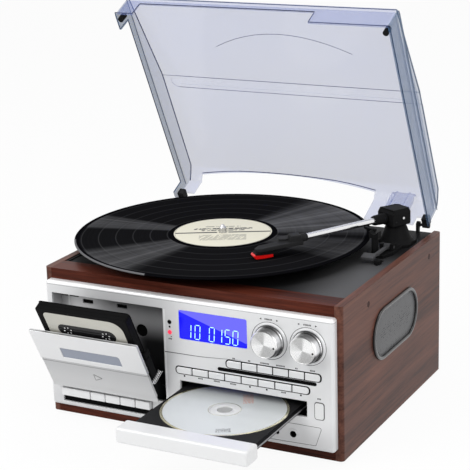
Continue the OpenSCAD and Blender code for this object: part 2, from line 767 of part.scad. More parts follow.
module main_board() {
    plunger_y = board_y - button_gap;
    color([0.12, 0.4, 0.2]) {
        difference() {
            span([pcb_x0, board_y, pcb_z0], [pcb_x1, board_y + pcb_t, panel_z1 - 4]);
            for (i = [0, 1]) translate([knob_x + i * knob_gap, board_y - over, knob_z]) rotate([-90, 0, 0])
                cylinder(h = pcb_t + 2 * over, r = knob_shaft_r + 0.6);
        }
        for (i = [0 : 5]) span([function_x0 + (i + 0.5) * function_pitch - 3, plunger_y, function_z - 3],
            [function_x0 + (i + 0.5) * function_pitch + 3, board_y, function_z + 3]);
        for (i = [0 : 7]) span([cd_button_x0 + (i + 0.5) * cd_pitch - 3, plunger_y, cd_button_z - 3],
            [cd_button_x0 + (i + 0.5) * cd_pitch + 3, board_y, cd_button_z + 3]);
        for (x = [-4, display_w + display_x0 - 2]) span([x, face_back_y + 5, display_z0 + 4], [x + 6, board_y, display_z0 + 10]);
        // Lamp and sensor on their stalks
        for (z = [lamp_z, sensor_z]) translate([lamp_x, panel_y - 0.4, z]) rotate([-90, 0, 0])
            cylinder(h = board_y - panel_y + 0.4, r = 2);
        // Pots behind the knobs, which carry their shafts
        for (i = [0, 1]) translate([knob_x + i * knob_gap, board_y + pcb_t, knob_z]) rotate([-90, 0, 0]) difference() {
            cylinder(h = 9, r = 8.5);
            translate([0, 0, -over]) cylinder(h = 7 + over, r = knob_shaft_r + pin_gap);
        }
        // Lugs that screw the board to the panel
        for (x = [pcb_x0 + 8, pcb_x1 - 10], z = [panel_z1 - 8]) span([x, face_back_y, z], [x + 4, board_y, z + 4]);
    }
}

button_gap = 1.9;
button_end_y = board_y - button_gap - button_travel - 0.15;

// One push button of a row: its index, the row's start, pitch and height, and how many the row has
module push_button(i, x0, pitch, z, h, count) {
    l = i == 0 ? slide_gap : pitch * i + 0.25;
    r = i == count - 1 ? pitch * count - slide_gap : pitch * (i + 1) - 0.25;
    end_r = 2.6;
    color([0.82, 0.83, 0.84]) {
        on_front(panel_y - button_proud, face_back_y - panel_y + button_proud + 0.3) translate([x0, z]) {
            translate([l + (i == 0 ? end_r : 0), -h / 2]) square([r - l - (i == 0 || i == count - 1 ? end_r : 0), h]);
            if (i == 0) {
                translate([l + end_r, -h / 2 + end_r]) intersection() {
                    union() {
                        circle(end_r);
                        translate([0, h - 2 * end_r]) circle(end_r);
                        translate([-end_r, 0]) square([end_r, h - 2 * end_r]);
                    }
                    translate([-end_r, -end_r]) square([end_r, h]);
                }
            }
            if (i == count - 1) {
                translate([r - end_r, -h / 2 + end_r]) intersection() {
                    union() {
                        circle(end_r);
                        translate([0, h - 2 * end_r]) circle(end_r);
                        translate([0, 0]) square([end_r, h - 2 * end_r]);
                    }
                    translate([0, -end_r]) square([end_r, h]);
                }
            }
        }
        // Flange that keeps it behind the panel, and the stem that meets its switch
        span([x0 + l + 2, face_back_y + 0.3, z - h / 2 - flange_lip], [x0 + r - 2, face_back_y + 0.3 + flange_t, z + h / 2 + flange_lip]);
        span([x0 + (l + r) / 2 - 2, face_back_y + 0.3, z - 2], [x0 + (l + r) / 2 + 2, button_end_y, z + 2]);
    }
}

module function_button(i) {
    push_button(i, function_x0, function_pitch, function_z, button_h - 0.2, 6);
}

module cd_button(i) {
    push_button(i, cd_button_x0, cd_pitch, cd_button_z, button_h - 0.6, 8);
}

// A knob with a tapered body, a dished face and the shaft that turns in the pot
module knob(i) {
    color([0.85, 0.85, 0.86]) translate([knob_x + i * knob_gap, panel_y, knob_z]) rotate([90, 0, 0]) {
        rotate_extrude($fn = 64) polygon([[0, 0.5], [knob_r + 0.8, 0.5], [knob_r + 0.8, 3], [knob_r, 3.8], [knob_r - 0.6, knob_l - 1.2],
            [knob_r - 1.8, knob_l], [knob_r - 3, knob_l - 0.5], [0, knob_l - 0.5]]);
        translate([0, 0, -(board_y - panel_y) - pcb_t - 6]) cylinder(h = board_y - panel_y + pcb_t + 7, r = knob_shaft_r);
    }
}

module tuning_knob() {
    knob(0);
}

module volume_knob() {
    knob(1);
}

// ---- tape deck ----

bay_in_z0 = pivot_z - 10;
bay_in_z1 = bay_z1 + 3;
bay_side_y = face_back_y + 0.1;
plate_y = panel_y + 17.1;
plate_t = 1.5;
plate_z0 = base_z + 60;
plate_slots = [-122.5, -83.7];
plate_slot_w = 11.8;
plate_slot_z = base_z + 115.4;
plate_slot_h = 4.1;
plate_hole = [-56.4, base_z + 95.6];
plate_hole_r = 6.4;

module tape_bay() {
    side_t = 1;
    back_t = 2;
    boss_t = 1.6;
    room_z1 = key_pivot_z + 5;
    room_x = [key_edges[0] - 1.5, key_edges[5] + 1.5];
    hanger_t = 2;
    color([0.55, 0.56, 0.58]) {
        difference() {
            span([bay_x0 - side_t, bay_side_y, bay_in_z0], [bay_x1 + side_t, bay_back_y + back_t, bay_in_z1]);
            // The hollow, open at the front
            span([bay_x0, bay_side_y - over, pivot_z - 7], [bay_x1, bay_back_y, bay_z1 + 1]);
            // Room for the keys under the hollow
            span([room_x[0], bay_side_y - over, bay_in_z0 - over], [room_x[1], bay_back_y + back_t + over, room_z1]);
            door_pin_bore();
        }
        // Plate behind the cassette with its two slots and its hole
        difference() {
            span([bay_x0 - side_t / 2, plate_y, plate_z0], [bay_x1 + side_t / 2, plate_y + plate_t, bay_z1 + 1.5]);
            for (x = plate_slots) span([x, plate_y - over, plate_slot_z], [x + plate_slot_w, plate_y + plate_t + over, plate_slot_z + plate_slot_h]);
            translate([plate_hole[0], plate_y - over, plate_hole[1]]) rotate([-90, 0, 0]) cylinder(h = plate_t + 2 * over, r = plate_hole_r);
            // Room for the door's spring at the right, and for its left arm
            span([holder_x1 + cheek_t - 0.6, plate_y - over, plate_z0 - over], [bay_x1 + over, plate_y + plate_t + over, pivot_z + spring_s + 5]);
            span([bay_x0 - over, plate_y - over, plate_z0 - over], [arm_x0[0] + arm_t + 0.9, plate_y + plate_t + over, pivot_z + holder_s0 + 32]);
        }
        // Bosses round the door's pins
        difference() {
            translate([0, pivot_y, pivot_z]) {
                rod_x(bay_x0, bay_x0 + boss_t, 5);
                rod_x(bay_x1 - boss_t, bay_x1, 5);
            }
            door_pin_bore();
        }
        // Key shaft with its two hangers
        translate([0, key_pivot_y, key_pivot_z]) rod_x(room_x[0] - hanger_t, room_x[1] + hanger_t, key_shaft_r);
        for (x = [room_x[0] - hanger_t, room_x[1]])
            span([x, bay_back_y, key_pivot_z - 4], [x + hanger_t, key_pivot_y + 3, key_pivot_z + 8]);
        // Shelf above the keys
        span([room_x[0], bay_side_y, key_z0 + key_h + 3], [room_x[1], bay_back_y + back_t, key_z0 + key_h + 4.5]);
    }
}

module door_pin_bore() {
    translate([0, pivot_y, pivot_z]) rod_x(bay_x0 - 5, bay_x1 + 5, door_pin_r + pin_gap);
}

module tape_key(i) {
    x0 = key_edges[i] + 0.3;
    x1 = key_edges[i + 1] - 0.3;
    color([0.86, 0.87, 0.88]) difference() {
        union() {
            span([x0, panel_y - key_proud, key_z0], [x1, face_back_y + 4, key_z0 + key_h - 0.3]);
            span([(x0 + x1) / 2 - 3, face_back_y + 3, key_pivot_z - 3], [(x0 + x1) / 2 + 3, key_pivot_y, key_pivot_z + 3]);
            translate([0, key_pivot_y, key_pivot_z]) rod_x((x0 + x1) / 2 - 3, (x0 + x1) / 2 + 3, 4);
        }
        translate([0, key_pivot_y, key_pivot_z]) rod_x(x0 - over, x1 + over, key_shaft_r + pin_gap);
        // Rounded top front edge
        translate([x0 - over, panel_y - key_proud, key_z0 + key_h - 0.3]) rotate([45, 0, 0]) cube([x1 - x0 + 2 * over, 1.6, 1.6], center = false);
    }
}

// Turns a drawing of the shut door open about its pivot, and puts it in the door's own n and s
module door_frame() {
    translate([0, pivot_y, pivot_z]) rotate([door_open, 0, 0]) translate([0, -door_n, 0]) children();
}

window_x = [-117.7, -51.3];
window_s = [door_s0 + door_h - 32.6, door_s0 + door_h - 19.2];
crease_s = door_s0 + door_h - 38.5;

module tape_door() {
    color([0.84, 0.85, 0.86]) door_frame() {
        difference() {
            span([door_x0, 0, door_s0], [door_x1, door_t, door_s0 + door_h]);
            // Lower half set back a little below the crease
            span([door_x0 - over, -over, door_s0 - over], [door_x1 + over, 0.5, crease_s]);
            // Recess of the window
            span([window_x[0], -over, window_s[0]], [window_x[1], 1, window_s[1]]);
            translate([0, door_n, 0]) rod_x(door_x0 - over, door_x1 + over, panel_sweep_r);
        }
        // Peg that the spring is hooked on
        translate([spring_x, door_t - 0.5, spring_s]) rotate([-90, 0, 0]) cylinder(h = 6.5, r = spring_peg_r);
    }
}

holder_x0 = tape_x - tape_w / 2 - cheek_gap;
holder_x1 = tape_x + tape_w / 2 + cheek_gap;
holder_s0 = tape_s1 - tape_h - 0.4;
floor_t = 2.2;
lip_t = 1.2;

module cheek(x0, x1) {
    translate([x0, 0, 0]) rotate([90, 0, 90]) linear_extrude(x1 - x0)
        polygon([[door_t, holder_s0 - floor_t], [cheek_n, holder_s0 - floor_t], [cheek_n, tape_s1 - 26], [cheek_n - 5, tape_s1 - 12],
            [door_t, tape_s1 - 4]]);
}

arm_x0 = [door_x0 + 1.5, holder_x1 + cheek_t - arm_t];

module cassette_holder() {
    color([0.13, 0.13, 0.14]) door_frame() {
        difference() {
            union() {
                cheek(holder_x0 - cheek_t, holder_x0);
                cheek(holder_x1, holder_x1 + cheek_t);
                // Floor and the lip behind the cassette
                span([holder_x0 - 1, door_t, holder_s0 - floor_t], [holder_x1 + 1, cheek_n, holder_s0]);
                span([holder_x0 - 1, cheek_n - lip_t, holder_s0 - floor_t], [holder_x1 + 1, cheek_n, holder_s0 + 9]);
                // Flange on the door that joins the left cheek to its arm
                span([arm_x0[0], door_t, holder_s0 + 4], [holder_x0, door_t + 4, holder_s0 + 30]);
            }
            translate([0, door_n, 0]) rod_x(bay_x0 + notch_w - 0.5, bay_x1 - door_side - notch_w + 0.5, panel_sweep_r);
        }
        translate([arm_x0[0], 0, 0]) arm_plate(holder_s0 + 30);
        translate([arm_x0[1], 0, 0]) arm_plate(holder_s0 - 1);
        // Pins that the arms turn on
        translate([0, door_n, 0]) rod_x(bay_x0 - 0.9, arm_x0[0] + arm_t, door_pin_r);
        translate([0, door_n, 0]) rod_x(arm_x0[1], bay_x1 + 0.9, door_pin_r);
    }
}

// An arm's plate in n and s, from the height s1 down to its eye at the pivot
module arm_plate(s1) {
    rotate([90, 0, 90]) linear_extrude(arm_t) {
        polygon([[door_t, door_s0 + 4], [door_n - 4.5, 1], [door_n + 4, 3], [cheek_n, s1], [door_t, s1]]);
        translate([door_n, 0]) circle(4.8);
    }
}

// Coil spring that swings the door open: one tube wound round the peg behind the door
spring_curls = 7;
spring_r = 2.1;
spring_wire_r = 0.4;
spring_l = 17;
spring_peg_r = 0.8;
spring_x = holder_x1 + cheek_t + spring_r + spring_wire_r + 0.3;
spring_s = 45;
spring_steps = 8;
spring_sides = 6;

function spring_point(k) = let (a = 360 * k / spring_steps, n = spring_curls * spring_steps)
    [spring_r * cos(a), spring_r * sin(a), spring_l * k / n];
function spring_ring(p, q) = let (d = q - p, u = d / norm(d), v = cross(u, [0, 0, 1]) / norm(cross(u, [0, 0, 1])), w = cross(v, u))
    [for (j = [0 : spring_sides - 1]) p + spring_wire_r * (cos(360 * j / spring_sides) * v + sin(360 * j / spring_sides) * w)];

module coil() {
    n = spring_curls * spring_steps;
    pts = [for (k = [0 : n]) each spring_ring(spring_point(k), spring_point(k + 1))];
    s = spring_sides;
    sides = [for (k = [0 : n - 1], j = [0 : s - 1]) each [
        [k * s + j, k * s + (j + 1) % s, (k + 1) * s + (j + 1) % s], [k * s + j, (k + 1) * s + (j + 1) % s, (k + 1) * s + j]]];
    caps = concat([for (j = [1 : s - 2]) [0, j + 1, j]], [for (j = [1 : s - 2]) [n * s, n * s + j, n * s + j + 1]]);
    polyhedron(points = pts, faces = concat(sides, caps));
}

spring_gap = min([for (i = [0 : spring_curls * spring_steps - 1], j = [i + spring_steps / 2 : spring_curls * spring_steps])
    norm(spring_point(i) - spring_point(j))]) - 2 * spring_wire_r;
echo(str("door_spring: least gap between its curls ", spring_gap, " mm"));

module door_spring() {
    color([0.75, 0.75, 0.76]) door_frame()
        translate([spring_x, door_t + spring_wire_r + 0.2, spring_s]) rotate([-90, 0, 0]) coil();
}

module cassette() {
    s1 = tape_s1 + tape_lift;
    color([0.08, 0.08, 0.08]) door_frame() translate([tape_x, tape_n, s1 - tape_h / 2]) difference() {
        union() {
            on_front(-tape_body_t / 2, tape_body_t) round_rect(tape_w, tape_h, 3);
            translate([0, 0, -tape_h / 2 + tape_thick_h / 2]) on_front(-tape_thick_t / 2, tape_thick_t) round_rect(tape_w - 24, tape_thick_h, 1.5);
        }
        for (e = [-1, 1]) translate([e * hub_gap / 2, -tape_body_t, tape_h / 2 - hub_drop]) rotate([-90, 0, 0]) cylinder(h = 2 * tape_body_t, r = hub_r);
    }
}

// ---- CD drive ----

module cd_tray() {
    color([0.16, 0.16, 0.17]) difference() {
        span([tray_x - tray_w / 2, tray_y0, tray_z0], [tray_x + tray_w / 2, tray_y0 + tray_l, tray_z0 + tray_rim_h]);
        translate([tray_x, disc_y, disc_z - disc_gap]) cylinder(h = tray_rim_h, r = disc_r + 0.6);
        // Slot in the floor that the spindle motor and the laser reach through
        span([tray_x - 17, disc_y - 17, tray_z0 - over], [tray_x + 17, tray_y0 + tray_l - 6, tray_z0 + tray_rim_h + over]);
    }
}

module tray_fascia() {
    color([0.9, 0.91, 0.91])
        translate([slot_x, 0, slot_z]) difference() {
            on_front(fascia_y, fascia_t - 0.05) round_rect(fascia_w, fascia_h, 1.5);
            translate([0, fascia_y + 3 + fascia_t / 2, -1]) cube([fascia_w - 6, fascia_t, fascia_h - 5], center = true);
        }
}

module compact_disc() {
    color([0.8, 0.84, 0.82]) translate([tray_x, disc_y, disc_z]) difference() {
        cylinder(h = disc_t, r = disc_r, $fn = 96);
        translate([0, 0, -over]) cylinder(h = disc_t + 2 * over, r = disc_hole_r);
    }
}

// Frame in the cabinet with the tray's runners, the spindle motor and the laser sled
mech_y0 = panel_y - 1.5 + fascia_t + slide_gap;
mech_y1 = tray_y0 + tray_travel + tray_l + 6;
mech_x = tray_w / 2 + 6;

module cd_mechanism() {
    color([0.3, 0.3, 0.32]) {
        difference() {
            span([tray_x - mech_x, mech_y0, floor_z], [tray_x + mech_x, mech_y1, tray_z0 - 1]);
            span([tray_x - mech_x + 4, mech_y0 - over, floor_z + 2], [tray_x + mech_x - 4, mech_y1 - 4, tray_z0 - 3]);
            span([tray_x - 19, mech_y0 + 20, tray_z0 - 3 - over], [tray_x + 19, mech_y1 - 20, tray_z0 + over]);
        }
        // Runners on both sides of the tray, with lips over its rim
        for (e = [-1, 1]) span([tray_x + (e > 0 ? tray_w / 2 + 0.4 : -mech_x), mech_y0, tray_z0 - 1 - 0.01],
            [tray_x + (e > 0 ? mech_x : -tray_w / 2 - 0.4), mech_y1, tray_z0 + tray_rim_h + 2]);
        // Spindle motor and laser sled inside the frame
        translate([tray_x, disc_y + tray_travel, floor_z + 2]) cylinder(h = tray_z0 - floor_z - 5, r = 12);
        span([tray_x - 14, disc_y + tray_travel + 18, floor_z + 2], [tray_x + 14, disc_y + tray_travel + 40, tray_z0 - 4]);
    }
}

// ---- speakers ----

module grille() {
    translate([0, 0, grille_z]) difference() {
        on_side(side_x + 0.6, board_t + 0.6) speaker_outline(-0.15);
        on_side(side_x - grille_t, board_t + over) speaker_outline(-5);
        for (y = [-grille_l / 2 + 12 : 6 : grille_l / 2 - 11], z = [-18 : 6 : 18])
            if (abs(y) + abs(z) < grille_l / 2 - 4) translate([side_x - grille_t - over, y, z]) rod_x(0, grille_t + 3, 1.6, $fn = 16);
    }
}

module speaker_grilles() {
    color([0.25, 0.25, 0.26]) for (e = [-1, 1]) scale_x(e) grille();
}

module driver() {
    translate([inner_x, 0, grille_z]) rotate([0, -90, 0]) difference() {
        union() {
            cylinder(h = 2, r = cone_r + 6);
            cylinder(h = 14, r1 = cone_r, r2 = 12);
            translate([0, 0, 14 - 0.01]) cylinder(h = 8, r = 15);
        }
        translate([0, 0, -over]) cylinder(h = 11, r1 = cone_r - 2, r2 = 7);
    }
}

module speaker_drivers() {
    color([0.16, 0.16, 0.17]) for (e = [-1, 1]) scale_x(e) translate([-0.05, 0, 0]) driver();
}

// ---- rear ----

rca_r = 4.15;
rca_l = 9;
inlet_bore_r = 2.8;

module rear_sockets() {
    y0 = deck_back_y - rear_t;
    color([0.14, 0.14, 0.15]) {
        difference() {
            union() {
                span([socket_plate_x[0] + seat_gap, y0 - 8, socket_z - socket_plate_h / 2 + seat_gap],
                    [socket_plate_x[1] - seat_gap, deck_back_y - 1, socket_z + socket_plate_h / 2 - seat_gap]);
                for (x = rca_x) translate([x, deck_back_y - 1 - over, socket_z]) rotate([-90, 0, 0]) cylinder(h = rca_l + over, r = rca_r);
            }
            for (x = rca_x) translate([x, deck_back_y, socket_z]) rotate([-90, 0, 0]) cylinder(h = rca_l + over, r = 1.6);
        }
        translate([inlet_x, y0 - 9, socket_z]) rotate([-90, 0, 0]) difference() {
            cylinder(h = 9 + rear_t, r = inlet_r - seat_gap);
            translate([0, 0, 2]) cylinder(h = 9 + rear_t, r = inlet_bore_r);
        }
    }
}

screw_places = [[-140, 20], [140, 20], [-140, 128], [140, 128]];

module case_screws() {
    color([0.3, 0.2, 0.16]) {
        for (e = [-1, 1], p = plug_places) scale_x(e) translate([side_x - plug_t + 0.05, p[0], base_z + p[1]]) rod_x(0, plug_t - 0.05, plug_r - 0.05);
        for (p = screw_places) translate([p[0], deck_back_y, base_z + p[1]]) rotate([-90, 0, 0]) difference() {
            cylinder(h = 1.6, r1 = 3.4, r2 = 2.4);
            translate([0, 0, 1.4]) cube([0.8, 3.6, 1.6], center = true);
            translate([0, 0, 1.4]) cube([3.6, 0.8, 1.6], center = true);
        }
    }
}

// ---- dust cover ----

// Turns a drawing of the shut cover open about its hinge
module cover_frame() {
    translate([0, hinge_y, hinge_z]) rotate([-cover_open, 0, 0]) translate([0, -hinge_y, -hinge_z]) children();
}

// The cover's outline from the side, in distance from its rear and height over its rim, drawn in by t
function cover_side(t) = [[-3 + t, -over], [-3 + t, cover_rear_h - t], [4 + t / 2, cover_h - 5 - t], [12, cover_h - t], [cover_l - cover_slope_l, cover_h - t],
    [cover_l - t, cover_front_h - t], [cover_l - t, -over]];

// The outline carried across a width
module cover_block(t, w) {
    translate([-w / 2, cover_y, cover_z]) mirror([0, 1, 0]) rotate([90, 0, 90]) linear_extrude(w) polygon(cover_side(t));
}

module cover_solid(t) {
    intersection() {
        cover_block(t, cover_w - 2 * t);
        span([-cover_w, -cab_d, cover_z - over], [cover_w, cab_d, cover_z + cover_skirt_h - t]);
    }
    cover_block(t, cover_w - 2 * cover_side_step - 2 * t);
}

// Plan outline with rounded corners that trims the cover's upright edges
module cover_plan(r) {
    translate([0, cover_y - (cover_l - 3) / 2]) round_rect(cover_w, cover_l + 3, r);
}

hinge_notch_h = 12;
hinge_notch_side = 2.1;
hinge_block_l = 9.6;
rear_cut = [-132, 77];
rear_cut_depth = 5;
rear_arc_rise = 7;
front_cut = [-129, 66];
side_cut = [8, 226];

module dust_cover() {
    color([0.7, 0.75, 0.85, 0.4]) cover_frame() {
        difference() {
            intersection() {
                cover_solid(0);
                translate([0, 0, cover_z]) linear_extrude(cover_h + over) cover_plan(5);
            }
            cover_solid(cover_t);
            // Room for the record's rim at the left, in front and behind
            span([-cover_w / 2 - over, cover_y - side_cut[1], cover_z - over], [-cover_w / 2 + 8, cover_y - side_cut[0], cover_z + cut_h]);
            span([front_cut[0], cover_y - cover_l - over, cover_z - over], [front_cut[1], cover_y - cover_l + 8, cover_z + cut_h]);
            rear_opening();
            // Notches of the hinges
            for (e = [-1, 1]) scale_x(e) span([hinge_ear_x[0] - hinge_notch_side, cover_y, cover_z - over],
                [cover_w / 2 - cover_t + 0.1, cover_y + 3 + over, cover_z + hinge_notch_h]);
            // Groove across the roof
            groove();
        }
        cover_channel();
    }
}

// The rear wall is open between its ends, and the roof's rear edge is drawn in as a shallow arc there
module rear_opening() {
    half = (rear_cut[1] - rear_cut[0]) / 2;
    r = (half * half + rear_arc_rise * rear_arc_rise) / (2 * rear_arc_rise);
    mid = (rear_cut[0] + rear_cut[1]) / 2;
    y_end = cover_y - rear_cut_depth;
    translate([0, 0, cover_z - over]) linear_extrude(cover_h + 3 * over) {
        translate([rear_cut[0], y_end]) square([2 * half, 20]);
        intersection() {
            translate([mid, y_end - rear_arc_rise + r]) circle(r, $fn = 180);
            translate([rear_cut[0], y_end - 20]) square([2 * half, 25]);
        }
    }
}

groove_w = 15;
groove_a = cover_l - cover_slope_l - 7;
groove_t = 0.8;

module groove() {
    translate([0, cover_y - groove_a, cover_z + cover_h - groove_t]) linear_extrude(5) {
        translate([-138 + groove_w / 2, -groove_w / 2]) square([400, groove_w]);
        translate([-138 + groove_w / 2, 0]) circle(groove_w / 2);
    }
}

// Clear channel moulded inside the rear wall, behind the tonearm
channel_x = [98, 124];

module cover_channel() {
    y1 = cover_y + 3 - cover_t;
    y0 = y1 - 9;
    z0 = cover_z + 12;
    z1 = cover_z + cover_rear_h + 5;
    difference() {
        span([channel_x[0], y0, z0], [channel_x[1], y1 + 0.5, z1 - 2]);
        span([channel_x[0] + 2, y0 + 2, z0 - over], [channel_x[1] - 2, y1 - over, z1 + over]);
    }
    for (x = [channel_x[0] + 5, channel_x[1] - 7]) span([x, y0 - 1.5, z0], [x + 2, y0 + 0.5, z1 - 2]);
}

module cover_bumpers() {
    color([0.06, 0.06, 0.06]) cover_frame() for (e = [-1, 1])
        translate([e * (cover_w / 2 - cover_t - bumper_r - 0.1), cover_y - cover_l + cover_t + bumper_r + 3, cover_z - 0.7]) {
            cylinder(h = 9, r = bumper_r);
        }
}

// Hinge blocks inside the cover's rear corners, with the pins that turn in the deck's ears
module cover_hinges() {
    x1 = cover_w / 2 - cover_t - 0.05;
    x0 = x1 - 7;
    color([0.35, 0.36, 0.38]) cover_frame() for (e = [-1, 1]) scale_x(e) {
        span([x0, hinge_y - hinge_block_l, hinge_z - 2], [x1, hinge_y, cover_z + hinge_notch_h - 0.8]);
        translate([0, hinge_y, hinge_z]) rod_x(x0, x1, 3);
        translate([0, hinge_y, hinge_z]) rod_x(hinge_ear_x[0] - 0.8, x0 + over, hinge_pin_r);
    }
}

left_side_board();
right_side_board();
front_top_rail();
bottom_board();
rear_panel();
rubber_feet();
turntable_deck();
drive_motor();
tonearm_base();
front_panel();
tape_bay();
display_lens();
main_board();
speaker_drivers();
speaker_grilles();
cd_mechanism();
panel_sockets();
rear_sockets();
case_screws();
dust_cover();
cover_bumpers();
cover_hinges();
platter_spindle();
platter();
slip_mat();
vinyl_record();
arm_turret();
arm_tube();
headshell();
cartridge();
cue_lever();
speed_switch();
cd_tray();
tray_fascia();
compact_disc();
tape_door();
cassette_holder();
door_spring();
cassette();
tuning_knob();
volume_knob();
tape_key(0);  // tape_key_1
tape_key(1);  // tape_key_2
tape_key(2);  // tape_key_3
tape_key(3);  // tape_key_4
tape_key(4);  // tape_key_5
function_button(0);  // function_button_1
function_button(1);  // function_button_2
function_button(2);  // function_button_3
function_button(3);  // function_button_4
function_button(4);  // function_button_5
function_button(5);  // function_button_6
cd_button(0);  // cd_button_1
cd_button(1);  // cd_button_2
cd_button(2);  // cd_button_3
cd_button(3);  // cd_button_4
cd_button(4);  // cd_button_5
cd_button(5);  // cd_button_6
cd_button(6);  // cd_button_7
cd_button(7);  // cd_button_8
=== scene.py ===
"""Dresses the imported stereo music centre: its finished surfaces, materials, lights, floor and camera.

Lengths in the code are millimetres in the part's own frame: X to the right, Y to the back, Z up.
A piece's mesh is worked out as whole numpy arrays and scaled to metres when it is built.
"""

import math

import bmesh
import bpy
import numpy as np
from bpy.props import FloatProperty, FloatVectorProperty, IntProperty, PointerProperty
from bpy.types import Operator, Panel, PropertyGroup
from mathutils import Matrix, Vector


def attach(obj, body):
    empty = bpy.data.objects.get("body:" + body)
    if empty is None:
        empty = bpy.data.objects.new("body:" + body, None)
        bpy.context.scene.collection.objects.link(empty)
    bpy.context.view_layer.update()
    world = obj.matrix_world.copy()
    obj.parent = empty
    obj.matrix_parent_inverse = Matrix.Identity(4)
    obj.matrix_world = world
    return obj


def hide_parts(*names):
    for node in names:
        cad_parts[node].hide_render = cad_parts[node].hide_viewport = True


bl_info = {
    "name": "Stereo Music Centre",
    "version": (1, 0, 0),
    "blender": (4, 5, 0),
    "location": "View3D > Sidebar > Music Centre",
    "description": "Makes the visible pieces of a stereo music centre round its solid model",
    "category": "Add Mesh",
}

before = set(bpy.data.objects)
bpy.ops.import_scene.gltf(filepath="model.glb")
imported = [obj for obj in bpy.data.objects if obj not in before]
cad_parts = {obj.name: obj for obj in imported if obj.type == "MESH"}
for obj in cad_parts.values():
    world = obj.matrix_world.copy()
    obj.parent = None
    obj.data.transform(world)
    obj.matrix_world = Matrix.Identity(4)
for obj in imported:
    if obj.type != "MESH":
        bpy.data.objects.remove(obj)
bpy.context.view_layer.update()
MM = 0.001

# Values of the solid model that the pieces are set by
PANEL_Y = -136.5
FACE = -PANEL_Y
PLATTER = (-31.5, 7.0)
RECORD_Z = 165.1
RECORD_T = 1.9
ARM = (129.0, 78.5, 182.2)
ARM_TURN = 27.8
SHELL_TURN = 45.3
ARM_L = 124.0
TURRET_Z0 = 174.7
KNOBS = (90.0, 128.8)
KNOB_Z = 116.0
DOOR_PIVOT = (-111.4, 32.0)
DOOR_OPEN = 27.5
DOOR_N = 26.6
DOOR_X = (-146.2, -25.8)
DOOR_S = (19.5, 99.5)
CREASE_S = 61.0
WINDOW = (-117.7, 66.9, -51.3, 80.3)
TAPE_X = -81.5
TAPE_N = 10.0
TAPE_TOP = 128.0
KEY_EDGES = (-140.1, -106.4, -89.3, -72.2, -55.1, -38.2)
DISC = (56.2, -164.4, 52.3)
FASCIA = ((-5.5, -257.0, 46.8), (126.5, -236.0, 61.8))
HINGE = (125.0, 161.0)
COVER_OPEN = 64.0
COVER_Y = 119.4
COVER_Z = 155.8
BAY_PLATE = 119.4
LAMP = (-15.0, 109.6)
SENSOR_Z = 119.9
# Middle, height and outer and inner radius of the two round sockets' rings
SOCKETS = ((112.4, 27.4, 5.4, 3.25), (96.3, 26.6, 3.9, 1.85))
# How bright the world lights the object, and how much of the floor's white is its own
WORLD_LIGHT = 0.46
FLOOR_WHITE = 0.94


# ---- arrays and placing ----


def mover(x=0.0, y=0.0, z=0.0, turn=0.0, axis="Z"):
    """A 4 by 4 array that turns by degrees about an axis and then moves."""
    return np.array(Matrix.Translation((x, y, z)) @ Matrix.Rotation(math.radians(turn), 4, axis))


def carry(points, matrix):
    """Points after a 4 by 4 array: rotation times point plus move."""
    return points @ matrix[:3, :3].T + matrix[:3, 3]


DOOR = mover(0, DOOR_PIVOT[0], DOOR_PIVOT[1], DOOR_OPEN, "X") @ mover(0, -DOOR_N, 0)
COVER = mover(0, HINGE[0], HINGE[1], -COVER_OPEN, "X") @ mover(0, -HINGE[0], -HINGE[1])
ARM_PLACE = mover(ARM[0], ARM[1], 0, -ARM_TURN)
SHELL_PLACE = mover(
    ARM[0] - ARM_L * math.sin(math.radians(ARM_TURN)),
    ARM[1] - ARM_L * math.cos(math.radians(ARM_TURN)),
    0,
    -SHELL_TURN,
)
# Lays a drawing of (x, y, depth) on the front: y becomes z, and depth comes forward
FRONT = np.array([[1, 0, 0, 0], [0, 0, -1, 0], [0, 1, 0, 0], [0, 0, 0, 1]], float)
# Lays a drawing on the right side: x runs along Y, y along Z, and depth goes out
SIDE = np.array([[0, 0, 1, 0], [1, 0, 0, 0], [0, 1, 0, 0], [0, 0, 0, 1]], float)


